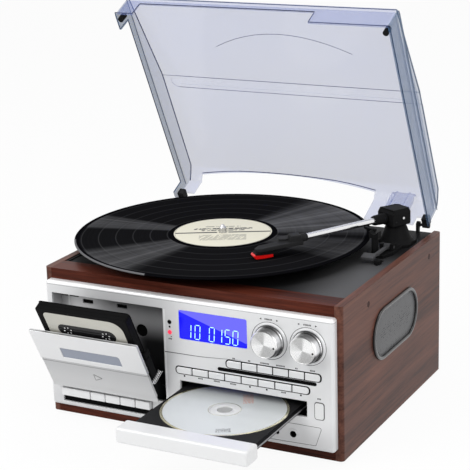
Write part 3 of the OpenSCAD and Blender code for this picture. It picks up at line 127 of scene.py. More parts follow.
class Form:
    """The patches of one piece, kept as arrays in millimetres until they go into one mesh."""

    def __init__(self, *finishes):
        self.finishes = finishes
        self.points = []
        self.faces = []
        self.marks = []
        self.count = 0

    def grid(self, points, finish=0, wrap=False, place=None):
        """Rows and columns of points joined by four-sided faces; wrap joins the last column to the first."""
        points = np.asarray(points, float)
        if place is not None:
            points = carry(points, place)
        rows, columns = points.shape[:2]
        index = np.arange(rows * columns).reshape(rows, columns) + self.count
        self.points.append(points.reshape(-1, 3))
        self.count += rows * columns
        looped = np.concatenate([index, index[:, :1]], axis=1) if wrap else index
        quads = np.stack([looped[:-1, :-1], looped[:-1, 1:], looped[1:, 1:], looped[1:, :-1]], axis=-1)
        quads = quads.reshape(-1, 4).tolist()
        self.faces += quads
        self.marks += [finish] * len(quads)
        return index

    def cap(self, ring, finish=0):
        """One flat face over a ring of point numbers."""
        self.faces.append([int(i) for i in ring])
        self.marks.append(finish)

    def build(self, name, body, slot, *nodes, sharp=38.0):
        """Puts the patches into one mesh with its faces outwards, and ties the piece to its body."""
        mesh = bpy.data.meshes.new(name)
        mesh.from_pydata(np.concatenate(self.points) * MM, [], self.faces)
        mesh.polygons.foreach_set("material_index", np.array(self.marks, dtype=np.int32))
        soft = bmesh.new()
        soft.from_mesh(mesh)
        bmesh.ops.remove_doubles(soft, verts=soft.verts, dist=1e-6)
        bmesh.ops.dissolve_degenerate(soft, edges=soft.edges, dist=1e-7)
        bmesh.ops.recalc_face_normals(soft, faces=soft.faces)
        soft.to_mesh(mesh)
        soft.free()
        mesh.shade_smooth()
        mesh.set_sharp_from_angle(angle=math.radians(sharp))
        for each in self.finishes:
            mesh.materials.append(finish(each))
        piece = bpy.data.objects.new(name, mesh)
        bpy.context.scene.collection.objects.link(piece)
        piece.modifiers.new("normals", "WEIGHTED_NORMAL").keep_sharp = True
        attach(piece, body)
        if nodes:
            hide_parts(*nodes)
        return piece


def turned(profile, steps=96):
    """A profile of (radius, height) turned round Z: x = radius cos a, y = radius sin a, z = height."""
    profile = np.asarray(profile, float)
    angle = np.linspace(0, 2 * math.pi, steps, endpoint=False)
    radius, height = profile[:, 0, None], profile[:, 1, None]
    return np.stack([radius * np.cos(angle), radius * np.sin(angle), height + 0 * angle], axis=-1)


def lathe(form, profile, place=None, finish=0, steps=96):
    """A turned solid; a profile that starts and ends on the axis, or meets itself, closes it."""
    return form.grid(turned(profile, steps), finish, wrap=True, place=place)


def block(form, low, high, radius, finish=0, place=None, steps=3):
    """A box with round edges: a sphere's points by latitude and longitude, with each eighth at its corner."""
    low, high = np.array(low, float), np.array(high, float)
    radius = min(radius, 0.499 * (high - low).min())
    quarter = np.linspace(0, math.pi / 2, steps + 1)
    longitude = np.concatenate([quarter + i * math.pi / 2 for i in range(4)])
    latitude = np.concatenate([quarter - math.pi / 2, quarter])
    u, v = np.meshgrid(latitude, longitude, indexing="ij")
    normal = np.stack([np.cos(u) * np.cos(v), np.cos(u) * np.sin(v), np.sin(u)], axis=-1)
    side = np.repeat([[1, 1], [-1, 1], [-1, -1], [1, -1]], steps + 1, axis=0)
    corner = np.empty_like(normal)
    corner[..., :2] = side[None]
    corner[..., 2] = np.repeat([-1, 1], steps + 1)[:, None]
    points = (low + high) / 2 + corner * ((high - low) / 2 - radius) + normal * radius
    index = form.grid(points, finish, wrap=True, place=place)
    form.cap(index[0, :: steps + 1], finish)
    form.cap(index[-1, :: steps + 1], finish)


def outline(corners, radii, steps=5):
    """A closed outline with round corners: each gives an arc of its radius that touches both of its sides."""
    corners = np.asarray(corners, float)
    radii = np.broadcast_to(radii, len(corners))
    before = np.roll(corners, 1, axis=0) - corners
    after = np.roll(corners, -1, axis=0) - corners
    before /= np.linalg.norm(before, axis=1)[:, None]
    after /= np.linalg.norm(after, axis=1)[:, None]
    half = np.arccos(np.clip((before * after).sum(axis=1), -1, 1)) / 2
    middle = before + after
    middle /= np.linalg.norm(middle, axis=1)[:, None]
    centre = corners + middle * (radii / np.sin(half))[:, None]
    start = corners + before * (radii / np.tan(half))[:, None] - centre
    sweep = math.pi - 2 * half
    sign = np.where(before[:, 0] * after[:, 1] - before[:, 1] * after[:, 0] < 0, 1, -1)
    angle = np.linspace(0, 1, steps + 1)[None] * (sweep * sign)[:, None]
    cos, sin = np.cos(angle), np.sin(angle)
    x = centre[:, :1] + start[:, :1] * cos - start[:, 1:] * sin
    y = centre[:, 1:] + start[:, :1] * sin + start[:, 1:] * cos
    return np.stack([x, y], axis=-1).reshape(-1, 2)


def rect(x0, y0, x1, y1, radius=0.0, steps=5):
    """The outline of a rectangle with round corners."""
    corners = [(x0, y0), (x1, y0), (x1, y1), (x0, y1)]
    return outline(corners, radius, steps) if radius else np.array(corners, float)


def disc_outline(x, y, radius, steps=32):
    """The outline of a circle."""
    angle = np.linspace(0, 2 * math.pi, steps, endpoint=False)
    return np.stack([x + radius * np.cos(angle), y + radius * np.sin(angle)], axis=-1)


def inset(shape, depth):
    """An outline moved inwards: each point goes along its two sides' mean normal, so both move by depth."""
    ahead = np.roll(shape, -1, axis=0) - shape
    ahead /= np.maximum(np.linalg.norm(ahead, axis=1)[:, None], 1e-9)
    behind = np.roll(ahead, 1, axis=0)
    normal = np.stack([-ahead[:, 1] - behind[:, 1], ahead[:, 0] + behind[:, 0]], axis=-1) / 2
    return shape + depth * normal / np.maximum((normal**2).sum(axis=1)[:, None], 0.3)


def level(shape, depth, z):
    """An outline moved inwards by depth, at one height."""
    return np.column_stack([inset(shape, depth) if depth else shape, np.full(len(shape), z)])


def solid(form, rows, finish=0, place=None):
    """Rings of points joined into a wall, and closed below and above."""
    index = form.grid(np.stack(rows), finish, wrap=True, place=place)
    form.cap(index[0][::-1], finish)
    form.cap(index[-1], finish)


def rounding(z0, z1, edge, steps):
    """The (inset, height) of a wall from z0 to z1 whose upper edge is a quarter circle."""
    turn = np.linspace(0, math.pi / 2, steps + 1)
    return [(0.0, z0)] + [(edge * (1 - math.cos(a)), z1 - edge + edge * math.sin(a)) for a in turn]


def slab(form, shape, z0, z1, edge=0.3, finish=0, place=None, steps=3):
    """A plate from z0 to z1 whose outline's upper edge is rounded."""
    solid(form, [level(shape, d, z) for d, z in rounding(z0, z1, edge, steps)], finish, place)


def rim(form, outer, inner, z0, z1, edge=0.4, finish=0, place=None, steps=3):
    """A flat ring between two outlines of as many points, its upper edges rounded: up, over and down."""
    wall = rounding(z0, z1, edge, steps)
    rows = [level(outer, d, z) for d, z in wall] + [level(inner, -d, z) for d, z in wall[::-1]]
    form.grid(np.stack([*rows, rows[0]]), finish, wrap=True, place=place)


def mark(form, shape, rise=0.12, finish=0, sink=0.3, edge=0.05):
    """A thin plate on the front panel's face."""
    slab(form, shape, FACE - sink, FACE + rise, edge, finish, FRONT)


def frame_mark(form, outer, inner, rise=0.12, finish=0, sink=0.3, edge=0.05):
    """A thin ring on the front panel's face."""
    rim(form, outer, inner, FACE - sink, FACE + rise, edge, finish, FRONT)


def pipe(form, path, radius, finish=0, place=None, sides=12, up=(0.0, 0.0, 1.0)):
    """A round tube along a path: circles in the plane of its normal and its side, across the tangent."""
    path = np.asarray(path, float)
    radius = np.broadcast_to(radius, len(path))
    tangent = np.gradient(path, axis=0)
    tangent /= np.linalg.norm(tangent, axis=1)[:, None]
    normal = np.asarray(up, float) - tangent * (tangent @ np.asarray(up, float))[:, None]
    normal /= np.linalg.norm(normal, axis=1)[:, None]
    side = np.cross(tangent, normal)
    angle = np.linspace(0, 2 * math.pi, sides, endpoint=False)
    ring = np.cos(angle)[None, :, None] * normal[:, None] + np.sin(angle)[None, :, None] * side[:, None]
    solid(form, path[:, None] + radius[:, None, None] * ring, finish, place)


def smooth_path(points, steps=8):
    """A curve through points: Catmull and Rom's cubic, each stretch cut into steps."""
    p = np.asarray(points, float)
    p = np.concatenate([2 * p[:1] - p[1:2], p, 2 * p[-1:] - p[-2:-1]])
    t = np.linspace(0, 1, steps, endpoint=False)[None, :, None]
    a, b, c, d = (p[i : len(p) - 3 + i, None] for i in range(4))
    curve = 0.5 * (2 * b + (c - a) * t + (2 * a - 5 * b + 4 * c - d) * t**2 + (3 * b - a - 3 * c + d) * t**3)
    return np.concatenate([curve.reshape(-1, 3), p[-2:-1]])


# ---- materials ----


class Value:
    """A socket of a material's nodes, on which Python's maths adds Math nodes."""

    def __init__(self, maker, socket):
        self.maker = maker
        self.socket = socket

    def act(self, operation, *others):
        return self.maker.maths(operation, self, *others)

    def __add__(self, other):
        return self.act("ADD", other)

    def __sub__(self, other):
        return self.act("SUBTRACT", other)

    def __rsub__(self, other):
        return self.maker.maths("SUBTRACT", other, self)

    def __mul__(self, other):
        return self.act("MULTIPLY", other)

    def __gt__(self, other):
        return self.act("GREATER_THAN", other)

    def __lt__(self, other):
        return self.act("LESS_THAN", other)

    def within(self, low, high):
        return (self > low) * (self < high)

    def soft_step(self, low, high):
        settings = {"interpolation_type": "SMOOTHSTEP"}
        values = {"Value": self, "From Min": low, "From Max": high}
        return self.maker.node("MapRange", settings, values)

    __radd__ = __add__
    __rmul__ = __mul__


class Maker:
    def __init__(self, name, shader="BsdfPrincipled", owners="materials", output="OutputMaterial"):
        self.owner = getattr(bpy.data, owners).new(name)
        self.owner.use_nodes = True
        self.tree = self.owner.node_tree
        self.tree.nodes.clear()
        self.shader = self.tree.nodes.new("ShaderNode" + shader)
        self.output = self.tree.nodes.new("ShaderNode" + output)
        self.tree.links.new(self.shader.outputs[0], self.output.inputs[0])

    def put(self, socket, value):
        if isinstance(value, Value):
            self.tree.links.new(value.socket, socket)
        elif isinstance(value, (tuple, list)) and socket.type == "RGBA" and len(value) == 3:
            socket.default_value = (*value, 1.0)
        else:
            socket.default_value = value

    def node(self, kind, settings=None, values=None, output=0):
        made = self.tree.nodes.new("ShaderNode" + kind)
        for key, value in (settings or {}).items():
            if key == "stops":
                ramp = made.color_ramp
                while len(ramp.elements) < len(value):
                    ramp.elements.new(0.5)
                for element, (position, colour) in zip(ramp.elements, value):
                    element.position = position
                    element.color = (*colour, 1.0)
            else:
                setattr(made, key, value)
        for key, value in (values or {}).items():
            self.put(made.inputs[key], value)
        return Value(self, made.outputs[output])

    def maths(self, operation, *values):
        return self.node("Math", {"operation": operation}, dict(enumerate(values)))

    def seen(self):
        """One for what the camera sees straight, in a gloss or through glass, and nought for light."""
        path = self.node("LightPath").socket.node
        rays = (Value(self, path.outputs[f"Is {ray} Ray"]) for ray in ("Camera", "Glossy", "Transmission"))
        return sum(rays)

    def place(self, move=(0, 0, 0), turn=(0, 0, 0), scale=(1, 1, 1)):
        """The object's coordinates, moved by metres, turned by degrees and scaled."""
        here = self.node("TexCoord", output="Object")
        shifted = self.node("VectorMath", {"operation": "SUBTRACT"}, {0: here, 1: move})
        turns = tuple(math.radians(t) for t in turn)
        return self.node("Mapping", {}, {"Vector": shifted, "Rotation": turns, "Scale": scale})

    def axes(self, vector=None):
        """The x, y and z of a vector, or of the object's coordinates, as three values."""
        vector = self.place() if vector is None else vector
        made = self.node("SeparateXYZ", {}, {0: vector})
        return [Value(self, made.socket.node.outputs[i]) for i in range(3)]

    def noise(self, vector, scale=1.0, detail=3.0, rough=0.5):
        values = {"Vector": vector, "Scale": scale, "Detail": detail, "Roughness": rough}
        return self.node("TexNoise", {}, values)

    def mix(self, factor, first, second):
        """A colour between two, by a factor."""
        return self.node("Mix", {"data_type": "RGBA"}, {0: factor, 6: first, 7: second}, output=2)

    def ramp(self, factor, *stops):
        return self.node("ValToRGB", {"stops": stops}, {0: factor})

    def soft_edge(self, radius):
        """The normal with its edges rounded, for pieces whose edges are sharp."""
        return self.node("Bevel", {"samples": 4}, {"Radius": radius})

    def bump(self, height, distance, strength=1.0, normal=None):
        values = {"Height": height, "Distance": distance, "Strength": strength}
        if normal is not None:
            values["Normal"] = normal
        return self.node("Bump", {}, values)

    def finish(self, **sockets):
        """Sets the shader's sockets by name, with _ for a space."""
        for key, value in sockets.items():
            self.put(self.shader.inputs[key.replace("_", " ")], value)
        return self.owner


def walnut(name, scale, dark, light, rough, level):
    """Polished walnut foil: long fibres over broad bands, with fine dark pores."""
    m = Maker(name)
    fibre = m.noise(m.place(scale=scale), 1.0, 6, 0.62)
    band = m.noise(m.place(scale=tuple(s * 0.16 for s in scale)), 1.0, 2, 0.5)
    pore = m.noise(m.place(scale=tuple(s * 2.6 for s in scale)), 1.0, 2, 0.5)
    tone = fibre * 0.6 + band * 0.4
    colour = m.ramp(tone, (0.36, dark), (0.5, tuple((a + b) / 2 for a, b in zip(dark, light))), (0.66, light))
    colour = m.mix(pore.soft_step(0.63, 0.72) * 0.5, colour, tuple(c * 0.35 for c in dark))
    normal = m.bump(fibre, 0.0002, 0.35, m.soft_edge(0.0006))
    return m.finish(
        Base_Color=colour, Roughness=fibre * 0.16 + (rough - 0.06), Normal=normal, Specular_IOR_Level=level
    )


def plastic(
    name, colour, rough, grain=0.00002, metal=0.0, level=0.5, edge=0.0004, coat=0.0, mottle=0.06, tone=None
):
    """Moulded plastic or paint: a faint mottle, a fine grain and softened edges; tone may repaint it with
    painted light and shade.
    """
    m = Maker(name)
    fine = m.noise(m.place(), 1900.0, 2, 0.6)
    broad = m.noise(m.place(), 26.0, 3, 0.5)
    shade = m.mix(
        (broad - 0.5) * 2 * mottle + fine * mottle, colour, tuple(min(1.0, c * 1.35 + 0.004) for c in colour)
    )
    if tone:
        shade = tone(m, shade)
    normal = m.bump(fine, grain, 0.6, m.soft_edge(edge) if edge else None)
    return m.finish(
        Base_Color=shade,
        Roughness=fine * 0.12 + broad * 0.06 + (rough - 0.09),
        Normal=normal,
        Metallic=metal,
        Specular_IOR_Level=level,
        Coat_Weight=coat,
        Coat_Roughness=0.12,
    )


def black(name, shade, rough, grain=0.00003, **others):
    """Black plastic with little gloss, so that it stays dark beside the white surroundings."""
    return plastic(name, (shade, shade, shade * 1.05), rough, grain, level=0.02, **others)


def panel_painted_light(m, shade):
    """Painted light and shade on the front panel: painted highlights along the top and beside the bay,
    painted shade over the field right of the bay and towards the bottom, and a fine dark line under the top
    strip.
    """
    x, _, z = m.axes()
    # Painted shade over the field just right of the bay, fading to the right
    field = (1 - x.soft_step(-0.022, 0.004)) * z.within(0.036, 0.0885) * (x > -0.0222)
    shade = m.mix(field * 0.14, shade, (0.3, 0.3, 0.32))
    # Painted shade towards the bottom
    shade = m.mix((1 - z.soft_step(0.02, 0.05)) * 0.35, shade, (0.45, 0.45, 0.46))
    # Painted highlights: a strip along the top and one beside the bay
    bright = (z > 0.1413) * 0.75 + x.within(-0.0222, -0.0196) * z.within(0.036, 0.132) * 0.8
    shade = m.mix(bright, shade, (0.96, 0.96, 0.97))
    line = z.within(0.1407, 0.1413) * 0.55
    return m.mix(line, shade, (0.2, 0.2, 0.21))


def bay_painted_shade(m, shade):
    """Painted shade on the bay's lining: bright at the left, darker to the right and upwards, with a
    near-black painted shadow in the lower right.
    """
    x, _, z = m.axes()
    dark = x.soft_step(-0.135, -0.045) * 0.5 + z.soft_step(0.112, 0.132) * 0.2
    shade = m.mix(dark, shade, (0.10, 0.10, 0.11))
    # A painted shadow, near black, in the lower right part
    corner = x.soft_step(-0.082, -0.05) * (1 - z.soft_step(0.088, 0.112))
    return m.mix(corner, shade, (0.008, 0.008, 0.009))


def tray_painted_light(m, shade):
    """A painted highlight as a grey strip along the side of the tray, under a near-black band of painted
    shade.
    """
    x, _, z = m.axes()
    side = x > 0.1171
    # Painted shade above the strip, then the painted highlight of the strip
    shade = m.mix(side * (z > 0.0501), shade, (0.006, 0.006, 0.007))
    return m.mix(side * z.within(0.0484, 0.0501), shade, (0.3, 0.3, 0.31))


def deck_painted_sheen(m, shade):
    """A painted sheen on the deck between the record and the right side."""
    x, y, _ = m.axes()
    sheen = x.soft_step(0.08, 0.145) * (1 - y.soft_step(-0.03, 0.05))
    return m.mix(sheen * 0.75, shade, (0.13, 0.13, 0.135))


def door_painted_shade(m, shade):
    """Painted shade on the door's lower half, darker towards the crease."""
    z = m.axes()[2]
    return m.mix(z.soft_step(0.04, 0.078) * 0.35, shade, (0.32, 0.32, 0.34))


def brushed(name, colour, rough, scale, depth=0.00002, metal=1.0):
    """Metal brushed along one direction: noise drawn out along the strokes."""
    m = Maker(name)
    stroke = m.noise(m.place(scale=scale), 1.0, 3, 0.6)
    shade = m.mix(stroke * 0.5, colour, tuple(c * 0.8 for c in colour))
    return m.finish(
        Base_Color=shade,
        Roughness=stroke * 0.2 + (rough - 0.1),
        Metallic=metal,
        Normal=m.bump(stroke, depth, 0.5, m.soft_edge(0.0003)),
    )


def spun(name, centre, colour, low=0.55, turns=2.0):
    """Metal turned on a lathe: fine rings, and as many broad fans of painted reflection as turns round the
    middle.
    """
    m = Maker(name)
    x, _, z = m.axes(m.place(move=tuple(c * MM for c in centre)))
    radius = (x * x + z * z).act("SQRT")
    angle = z.act("ARCTAN2", x)
    rings = (radius * 16000.0).act("SINE")
    fan = (angle * turns + 0.5).act("SINE")
    wave = (angle * 5.0 + 1.2).act("SINE")
    # Painted reflection: light and dark fans by the angle round the middle, darkest at low
    tone = (fan * 0.5 + wave * 0.16 + 0.5).soft_step(0.1, 0.9)
    shade = m.mix(tone, tuple(c * low for c in colour), colour)
    return m.finish(
        Base_Color=shade,
        Roughness=rings * 0.04 + 0.3,
        Metallic=0.75,
        Normal=m.bump(rings, 0.00001, 0.4),
    )


def vinyl(name):
    """Pressed vinyl: grooves as rings with smooth gaps, and painted sheen: fans of light, paler gaps and a
    glint on the rim.
    """
    m = Maker(name)
    x, y, _ = m.axes(m.place(move=(PLATTER[0] * MM, PLATTER[1] * MM, 0)))
    radius = (x * x + y * y).act("SQRT")
    angle = y.act("ARCTAN2", x)
    line = m.node("CombineXYZ", {}, {0: radius})
    loud = m.noise(line, 420.0, 4, 0.75)
    track = m.noise(line, 60.0, 1, 0.5)
    groove = (radius * 9000.0).act("SINE")
    cut = (radius > 0.0555) * (radius < 0.146)
    gap = (radius * 360.0).act("SINE").soft_step(0.965, 0.995)
    height = groove * (cut * (1 - gap) * (loud * 0.9 + 0.35))
    shade = m.mix(cut * loud, (0.004, 0.004, 0.005), (0.012, 0.012, 0.013))
    # Painted sheen: fans of light, each round its own direction, broken up by fine rays
    ray = m.noise(m.node("CombineXYZ", {}, {0: angle}), 9.0, 5, 0.65)
    fans = 0
    for middle, width, weight in PAINTED_SHEEN_FANS:
        near = (angle - middle).act("COSINE")
        fans = near.soft_step(math.cos(width), 1) * weight + fans
    light = fans * cut * (ray.soft_step(0.3, 0.75) * 0.7 + 0.3) * (loud * 0.6 + track * 0.5 + 0.2)
    shade = m.mix(light, shade, (0.5, 0.5, 0.52))
    # Painted sheen along the smooth gaps between tracks
    shade = m.mix(gap * cut * 0.1, shade, (0.2, 0.2, 0.21))
    # A painted glint along the front left of the rim
    painted_rim_glint = (radius > 0.1492) * angle.within(-2.6, -1.6)
    shade = m.mix(painted_rim_glint * 0.3, shade, (0.5, 0.5, 0.52))
    return m.finish(
        Base_Color=shade,
        Roughness=cut * loud * 0.3 + track * 0.12 + 0.2,
        Normal=m.bump(height, 0.00006, 0.7),
        Specular_IOR_Level=0.0,
    )


def label_paper(name):
    """The record's label: cream paper with a plain dark band across its middle and rows of strokes."""
    m = Maker(name)
    x, y, _ = m.axes(m.place(move=(PLATTER[0] * MM, PLATTER[1] * MM, 0), turn=(0, 0, -26.5)))
    radius = (x * x + y * y).act("SQRT")
    fibre = m.noise(m.place(), 900.0, 3, 0.6)
    band = y.within(-0.0022, 0.0012) * (radius > 0.006) * (radius < 0.0485)
    far = x.act("ABSOLUTE")
    block_a = y.within(0.0105, 0.0148) * (far < 0.030)
    block_b = y.within(0.0052, 0.0082) * (far < 0.022)
    block_c = y.within(0.0195, 0.0212) * (far < 0.018)
    lines = (y * 3100.0).act("SINE") > 0.2
    small = y.within(-0.028, -0.0085) * (far < 0.024) * lines
    letters = m.noise(m.place(scale=(1, 0.15, 1)), 520.0, 0, 0.5) > 0.42
    print_mask = (block_a + block_b + block_c) * letters + small * letters * 0.75
    ink = band.act("MAXIMUM", print_mask)
    edge = radius.within(0.0487, 0.0492)
    ink = ink.act("MAXIMUM", edge * 0.6)
    paper = m.mix(fibre, (0.80, 0.76, 0.60), (0.90, 0.87, 0.72))
    return m.finish(
        Base_Color=m.mix(ink, paper, (0.02, 0.02, 0.02)),
        Roughness=fibre * 0.2 + 0.45,
        Normal=m.bump(fibre, 0.00003, 0.3),
    )


def disc_face(name):
    """A compact disc's printed side: pale grey print between a bare silver rim and the clear middle."""
    m = Maker(name)
    x, y, _ = m.axes(m.place(move=(DISC[0] * MM, DISC[1] * MM, 0)))
    radius = (x * x + y * y).act("SQRT")
    angle = y.act("ARCTAN2", x)
    printed = radius.within(0.0155, 0.0576)
    fine = m.noise(m.place(), 1400.0, 2, 0.6)
    # A painted reflection on the bare silver, light and dark by the angle round the middle
    sheen = (angle * 2.0 + 1.0).act("SINE") * 0.5 + 0.5
    silver = m.mix(sheen, (0.66, 0.62, 0.36), (0.84, 0.80, 0.60))
    paint = m.mix(fine, (0.62, 0.65, 0.66), (0.68, 0.71, 0.71))
    line = radius.within(0.0153, 0.0158) + radius.within(0.0574, 0.0578)
    shade = m.mix(line * 0.5, m.mix(printed, silver, paint), (0.25, 0.25, 0.25))
    # Small marks in rows, turned a quarter of a right angle with the disc
    across, along, _ = m.axes(m.place(move=(DISC[0] * MM, DISC[1] * MM, 0), turn=(0, 0, -27)))
    dots = m.noise(m.place(), 1100.0, 0, 0.5) > 0.5
    red = across.within(0.017, 0.027) * along.within(0.012, 0.034) * dots
    dark = across.within(-0.008, 0.006) * along.within(-0.052, -0.044) * dots
    shade = m.mix(red * 0.6, shade, (0.75, 0.25, 0.15))
    shade = m.mix(dark * 0.8, shade, (0.05, 0.05, 0.05))
    return m.finish(
        Base_Color=shade,
        Roughness=printed * 0.22 + fine * 0.05 + 0.13,
        Metallic=(1 - printed) * 0.7,
        Normal=m.bump(fine, 0.00001, 0.2),
        Coat_Weight=0.3,
        Coat_Roughness=0.05,
    )


def tinted(name, colour, alpha, rough=0.04, wall_x=1.0):
    """Clear tinted acrylic with a faint haze of scuffs, denser and bluer beyond wall_x on both sides."""
    m = Maker(name)
    haze = m.noise(m.place(), 9.0, 3, 0.5)
    scuff = m.noise(m.place(scale=(1, 4, 1)), 160.0, 4, 0.7)
    x = m.axes()[0]
    wall = (x > wall_x) + (x < -wall_x)
    shade = m.mix(haze, colour, tuple(min(1, c * 1.25) for c in colour))
    return m.finish(
        Base_Color=m.mix(wall, shade, (0.05, 0.13, 0.27)),
        Roughness=scuff * 0.06 + rough,
        Alpha=haze * 0.04 + wall * 0.22 + (alpha - 0.02),
        Normal=m.bump(scuff, 0.000004, 0.3),
        IOR=1.49,
    )


def display_blue(name):
    """The lit display: deep blue below a slanting line and paler above it, with a faint grid of cells."""
    m = Maker(name)
    x, _, z = m.axes()
    line = z - 0.1314 + (x + 0.0039) * (0.0226 / 0.0707)
    pale = line.soft_step(-0.0003, 0.0003)
    fine = m.noise(m.place(), 1500.0, 2, 0.6)
    glow = m.mix(pale, (0.0, 0.0, 0.95), (0.16, 0.15, 0.98))
    return m.finish(
        Base_Color=(0.0, 0.0, 0.02),
        Emission_Color=m.mix(fine * 0.12, glow, (0.05, 0.05, 1.0)),
        Emission_Strength=1.0,
        Roughness=fine * 0.05 + 0.1,
        Specular_IOR_Level=0.3,
    )


def lit(name, colour, strength=1.0):
    """A lit mark with a faint cloudiness."""
    m = Maker(name)
    cloud = m.noise(m.place(), 700.0, 2, 0.5)
    return m.finish(
        Base_Color=colour,
        Emission_Color=m.mix(cloud * 0.3, colour, tuple(min(1, c * 1.2) for c in colour)),
        Emission_Strength=strength,
        Roughness=cloud * 0.1 + 0.3,
    )


def grille_weave(name):
    """Speaker cloth of a perforated sheet: a close pattern of dark round holes in dark grey."""
    m = Maker(name)
    values = {"Vector": m.place(), "Scale": 430.0, "Randomness": 0.3}
    cells = m.node("TexVoronoi", {"feature": "F1"}, values)
    hole = 1 - cells.soft_step(0.25, 0.42)
    shade = m.mix(hole, (0.085, 0.086, 0.09), (0.008, 0.008, 0.009))
    return m.finish(Base_Color=shade, Roughness=hole * 0.3 + 0.45, Normal=m.bump(cells, 0.0004, 0.6))


# Direction in radians, half width and weight of each fan of painted sheen on the record
PAINTED_SHEEN_FANS = ((-3.05, 0.2, 0.26), (-2.02, 0.36, 0.26), (0.85, 0.6, 0.4), (-0.02, 0.3, 0.16))
# Dark and light of the wood's grain
RAIL_WOOD = ((0.014, 0.003, 0.002), (0.115, 0.026, 0.014))
SIDE_WOOD = ((0.045, 0.014, 0.009), (0.165, 0.066, 0.045))
SILVER = (0.76, 0.765, 0.775)
RECIPES = {
    "walnut_front": lambda n: walnut(n, (14, 330, 330), *RAIL_WOOD, 0.34, 0.08),
    "walnut_side": lambda n: walnut(n, (300, 12, 300), *SIDE_WOOD, 0.38, 0.15),
    "back_board": lambda n: plastic(n, (0.03, 0.03, 0.031), 0.6),
    "rubber": lambda n: black(n, 0.012, 0.7, 0.00006),
    "deck_black": lambda n: black(n, 0.012, 0.36, 0.00005, tone=deck_painted_sheen),
    "arm_black": lambda n: black(n, 0.01, 0.38),
    "shell_grey": lambda n: black(n, 0.024, 0.4),
    "gloss_black": lambda n: plastic(n, (0.008, 0.008, 0.009), 0.14, 0.000005, coat=0.2, level=0.1),
    "bezel_black": lambda n: plastic(n, (0.01, 0.01, 0.011), 0.16, 0.000005, coat=0.4, level=0.5),
    "holder_black": lambda n: black(n, 0.008, 0.5, 0.00004),
    "panel_silver": lambda n: plastic(n, SILVER, 0.36, 0.000012, 0.2, edge=0.0007, tone=panel_painted_light),
    "door_silver": lambda n: plastic(n, SILVER, 0.34, 0.000012, 0.2, edge=0.0),
    # A darker copy of the door's silver, as painted shade on its lower half
    "door_lower": lambda n: plastic(n, (0.6, 0.605, 0.61), 0.36, 0.000012, 0.25, edge=0.0, tone=door_painted_shade),
    "white_silver": lambda n: plastic(n, (0.78, 0.785, 0.79), 0.32, 0.00001, metal=0.05, edge=0.0),
    "button_silver": lambda n: plastic(n, (0.8, 0.805, 0.815), 0.3, 0.00001, metal=0.2, edge=0.0),
    "window_grey": lambda n: plastic(n, (0.22, 0.25, 0.32), 0.16, 0.000005, coat=0.6),
    "bay_grey": lambda n: plastic(n, (0.66, 0.66, 0.67), 0.36, 0.00002, metal=0.3, tone=bay_painted_shade),
    # A dark plate standing in for the shade of a recess in the bay
    "bay_dark": lambda n: black(n, 0.02, 0.5),
    # Black for print and sockets, and for plates that stand in for shade in gaps and behind holes
    "print_black": lambda n: black(n, 0.004, 0.4, 0.00001, edge=0.0),
    "groove_grey": lambda n: plastic(n, (0.12, 0.12, 0.125), 0.5, 0.00001, edge=0.0),
    "chrome": lambda n: brushed(n, (0.86, 0.86, 0.87), 0.2, (60, 60, 900)),
    "steel": lambda n: brushed(n, (0.6, 0.6, 0.61), 0.3, (500, 500, 500)),
    "motor_metal": lambda n: brushed(n, (0.5, 0.5, 0.5), 0.4, (300, 300, 40)),
    "knob_side_1": lambda n: spun(n, (KNOBS[0], 0, KNOB_Z), (0.95, 0.95, 0.96), 0.08, 3.0),
    "knob_side_2": lambda n: spun(n, (KNOBS[1], 0, KNOB_Z), (0.95, 0.95, 0.96), 0.08, 3.0),
    "knob_face_1": lambda n: spun(n, (KNOBS[0], 0, KNOB_Z), (0.95, 0.95, 0.95)),
    "knob_face_2": lambda n: spun(n, (KNOBS[1], 0, KNOB_Z), (0.95, 0.95, 0.95)),
    "board_green": lambda n: plastic(n, (0.03, 0.12, 0.05), 0.4),
    "speaker_black": lambda n: plastic(n, (0.02, 0.02, 0.02), 0.6),
    "mechanism_grey": lambda n: black(n, 0.012, 0.5),
    "vinyl_black": vinyl,
    "label_paper": label_paper,
    "disc_face": disc_face,
    "disc_clear": lambda n: tinted(n, (0.8, 0.82, 0.82), 0.6),
    "mat_felt": lambda n: plastic(n, (0.02, 0.02, 0.02), 0.9, 0.0002),
    "clear_cover": lambda n: tinted(n, (0.17, 0.23, 0.52), 0.235, wall_x=0.1472),
    # A pale rod painted as the highlight in the cover's groove
    "cover_strip": lambda n: plastic(n, (0.8, 0.84, 0.92), 0.3, 0.00001, edge=0.0),
    "cover_edge": lambda n: plastic(n, (0.02, 0.027, 0.07), 0.3, 0.00001, edge=0.0, level=0.2),
    "display_blue": display_blue,
    "digit_white": lambda n: lit(n, (0.36, 0.66, 0.97)),
    "lamp_red": lambda n: lit(n, (0.9, 0.03, 0.08), 0.6),
    "stylus_red": lambda n: plastic(n, (0.85, 0.005, 0.004), 0.28, 0.00001, edge=0.0),
    "lever_grey": lambda n: black(n, 0.075, 0.45),
    "plug_brown": lambda n: plastic(n, (0.035, 0.012, 0.009), 0.4, level=0.05),
    "tape_label": lambda n: plastic(n, (0.5, 0.49, 0.44), 0.45, 0.00002, edge=0.0, mottle=0.45),
    "tape_black": lambda n: black(n, 0.006, 0.3, 0.00002, edge=0.0),
    "hub_white": lambda n: plastic(n, (0.85, 0.85, 0.85), 0.35, 0.00001, edge=0.0),
    "tray_dark": lambda n: black(n, 0.02, 0.42, tone=tray_painted_light),
    "grille_weave": grille_weave,
}


def finish(name):
    """The material of that recipe, made once; the solid model's slots keep the plain names."""
    own = f"{name}_finish"
    return bpy.data.materials.get(own) or RECIPES[name](own)


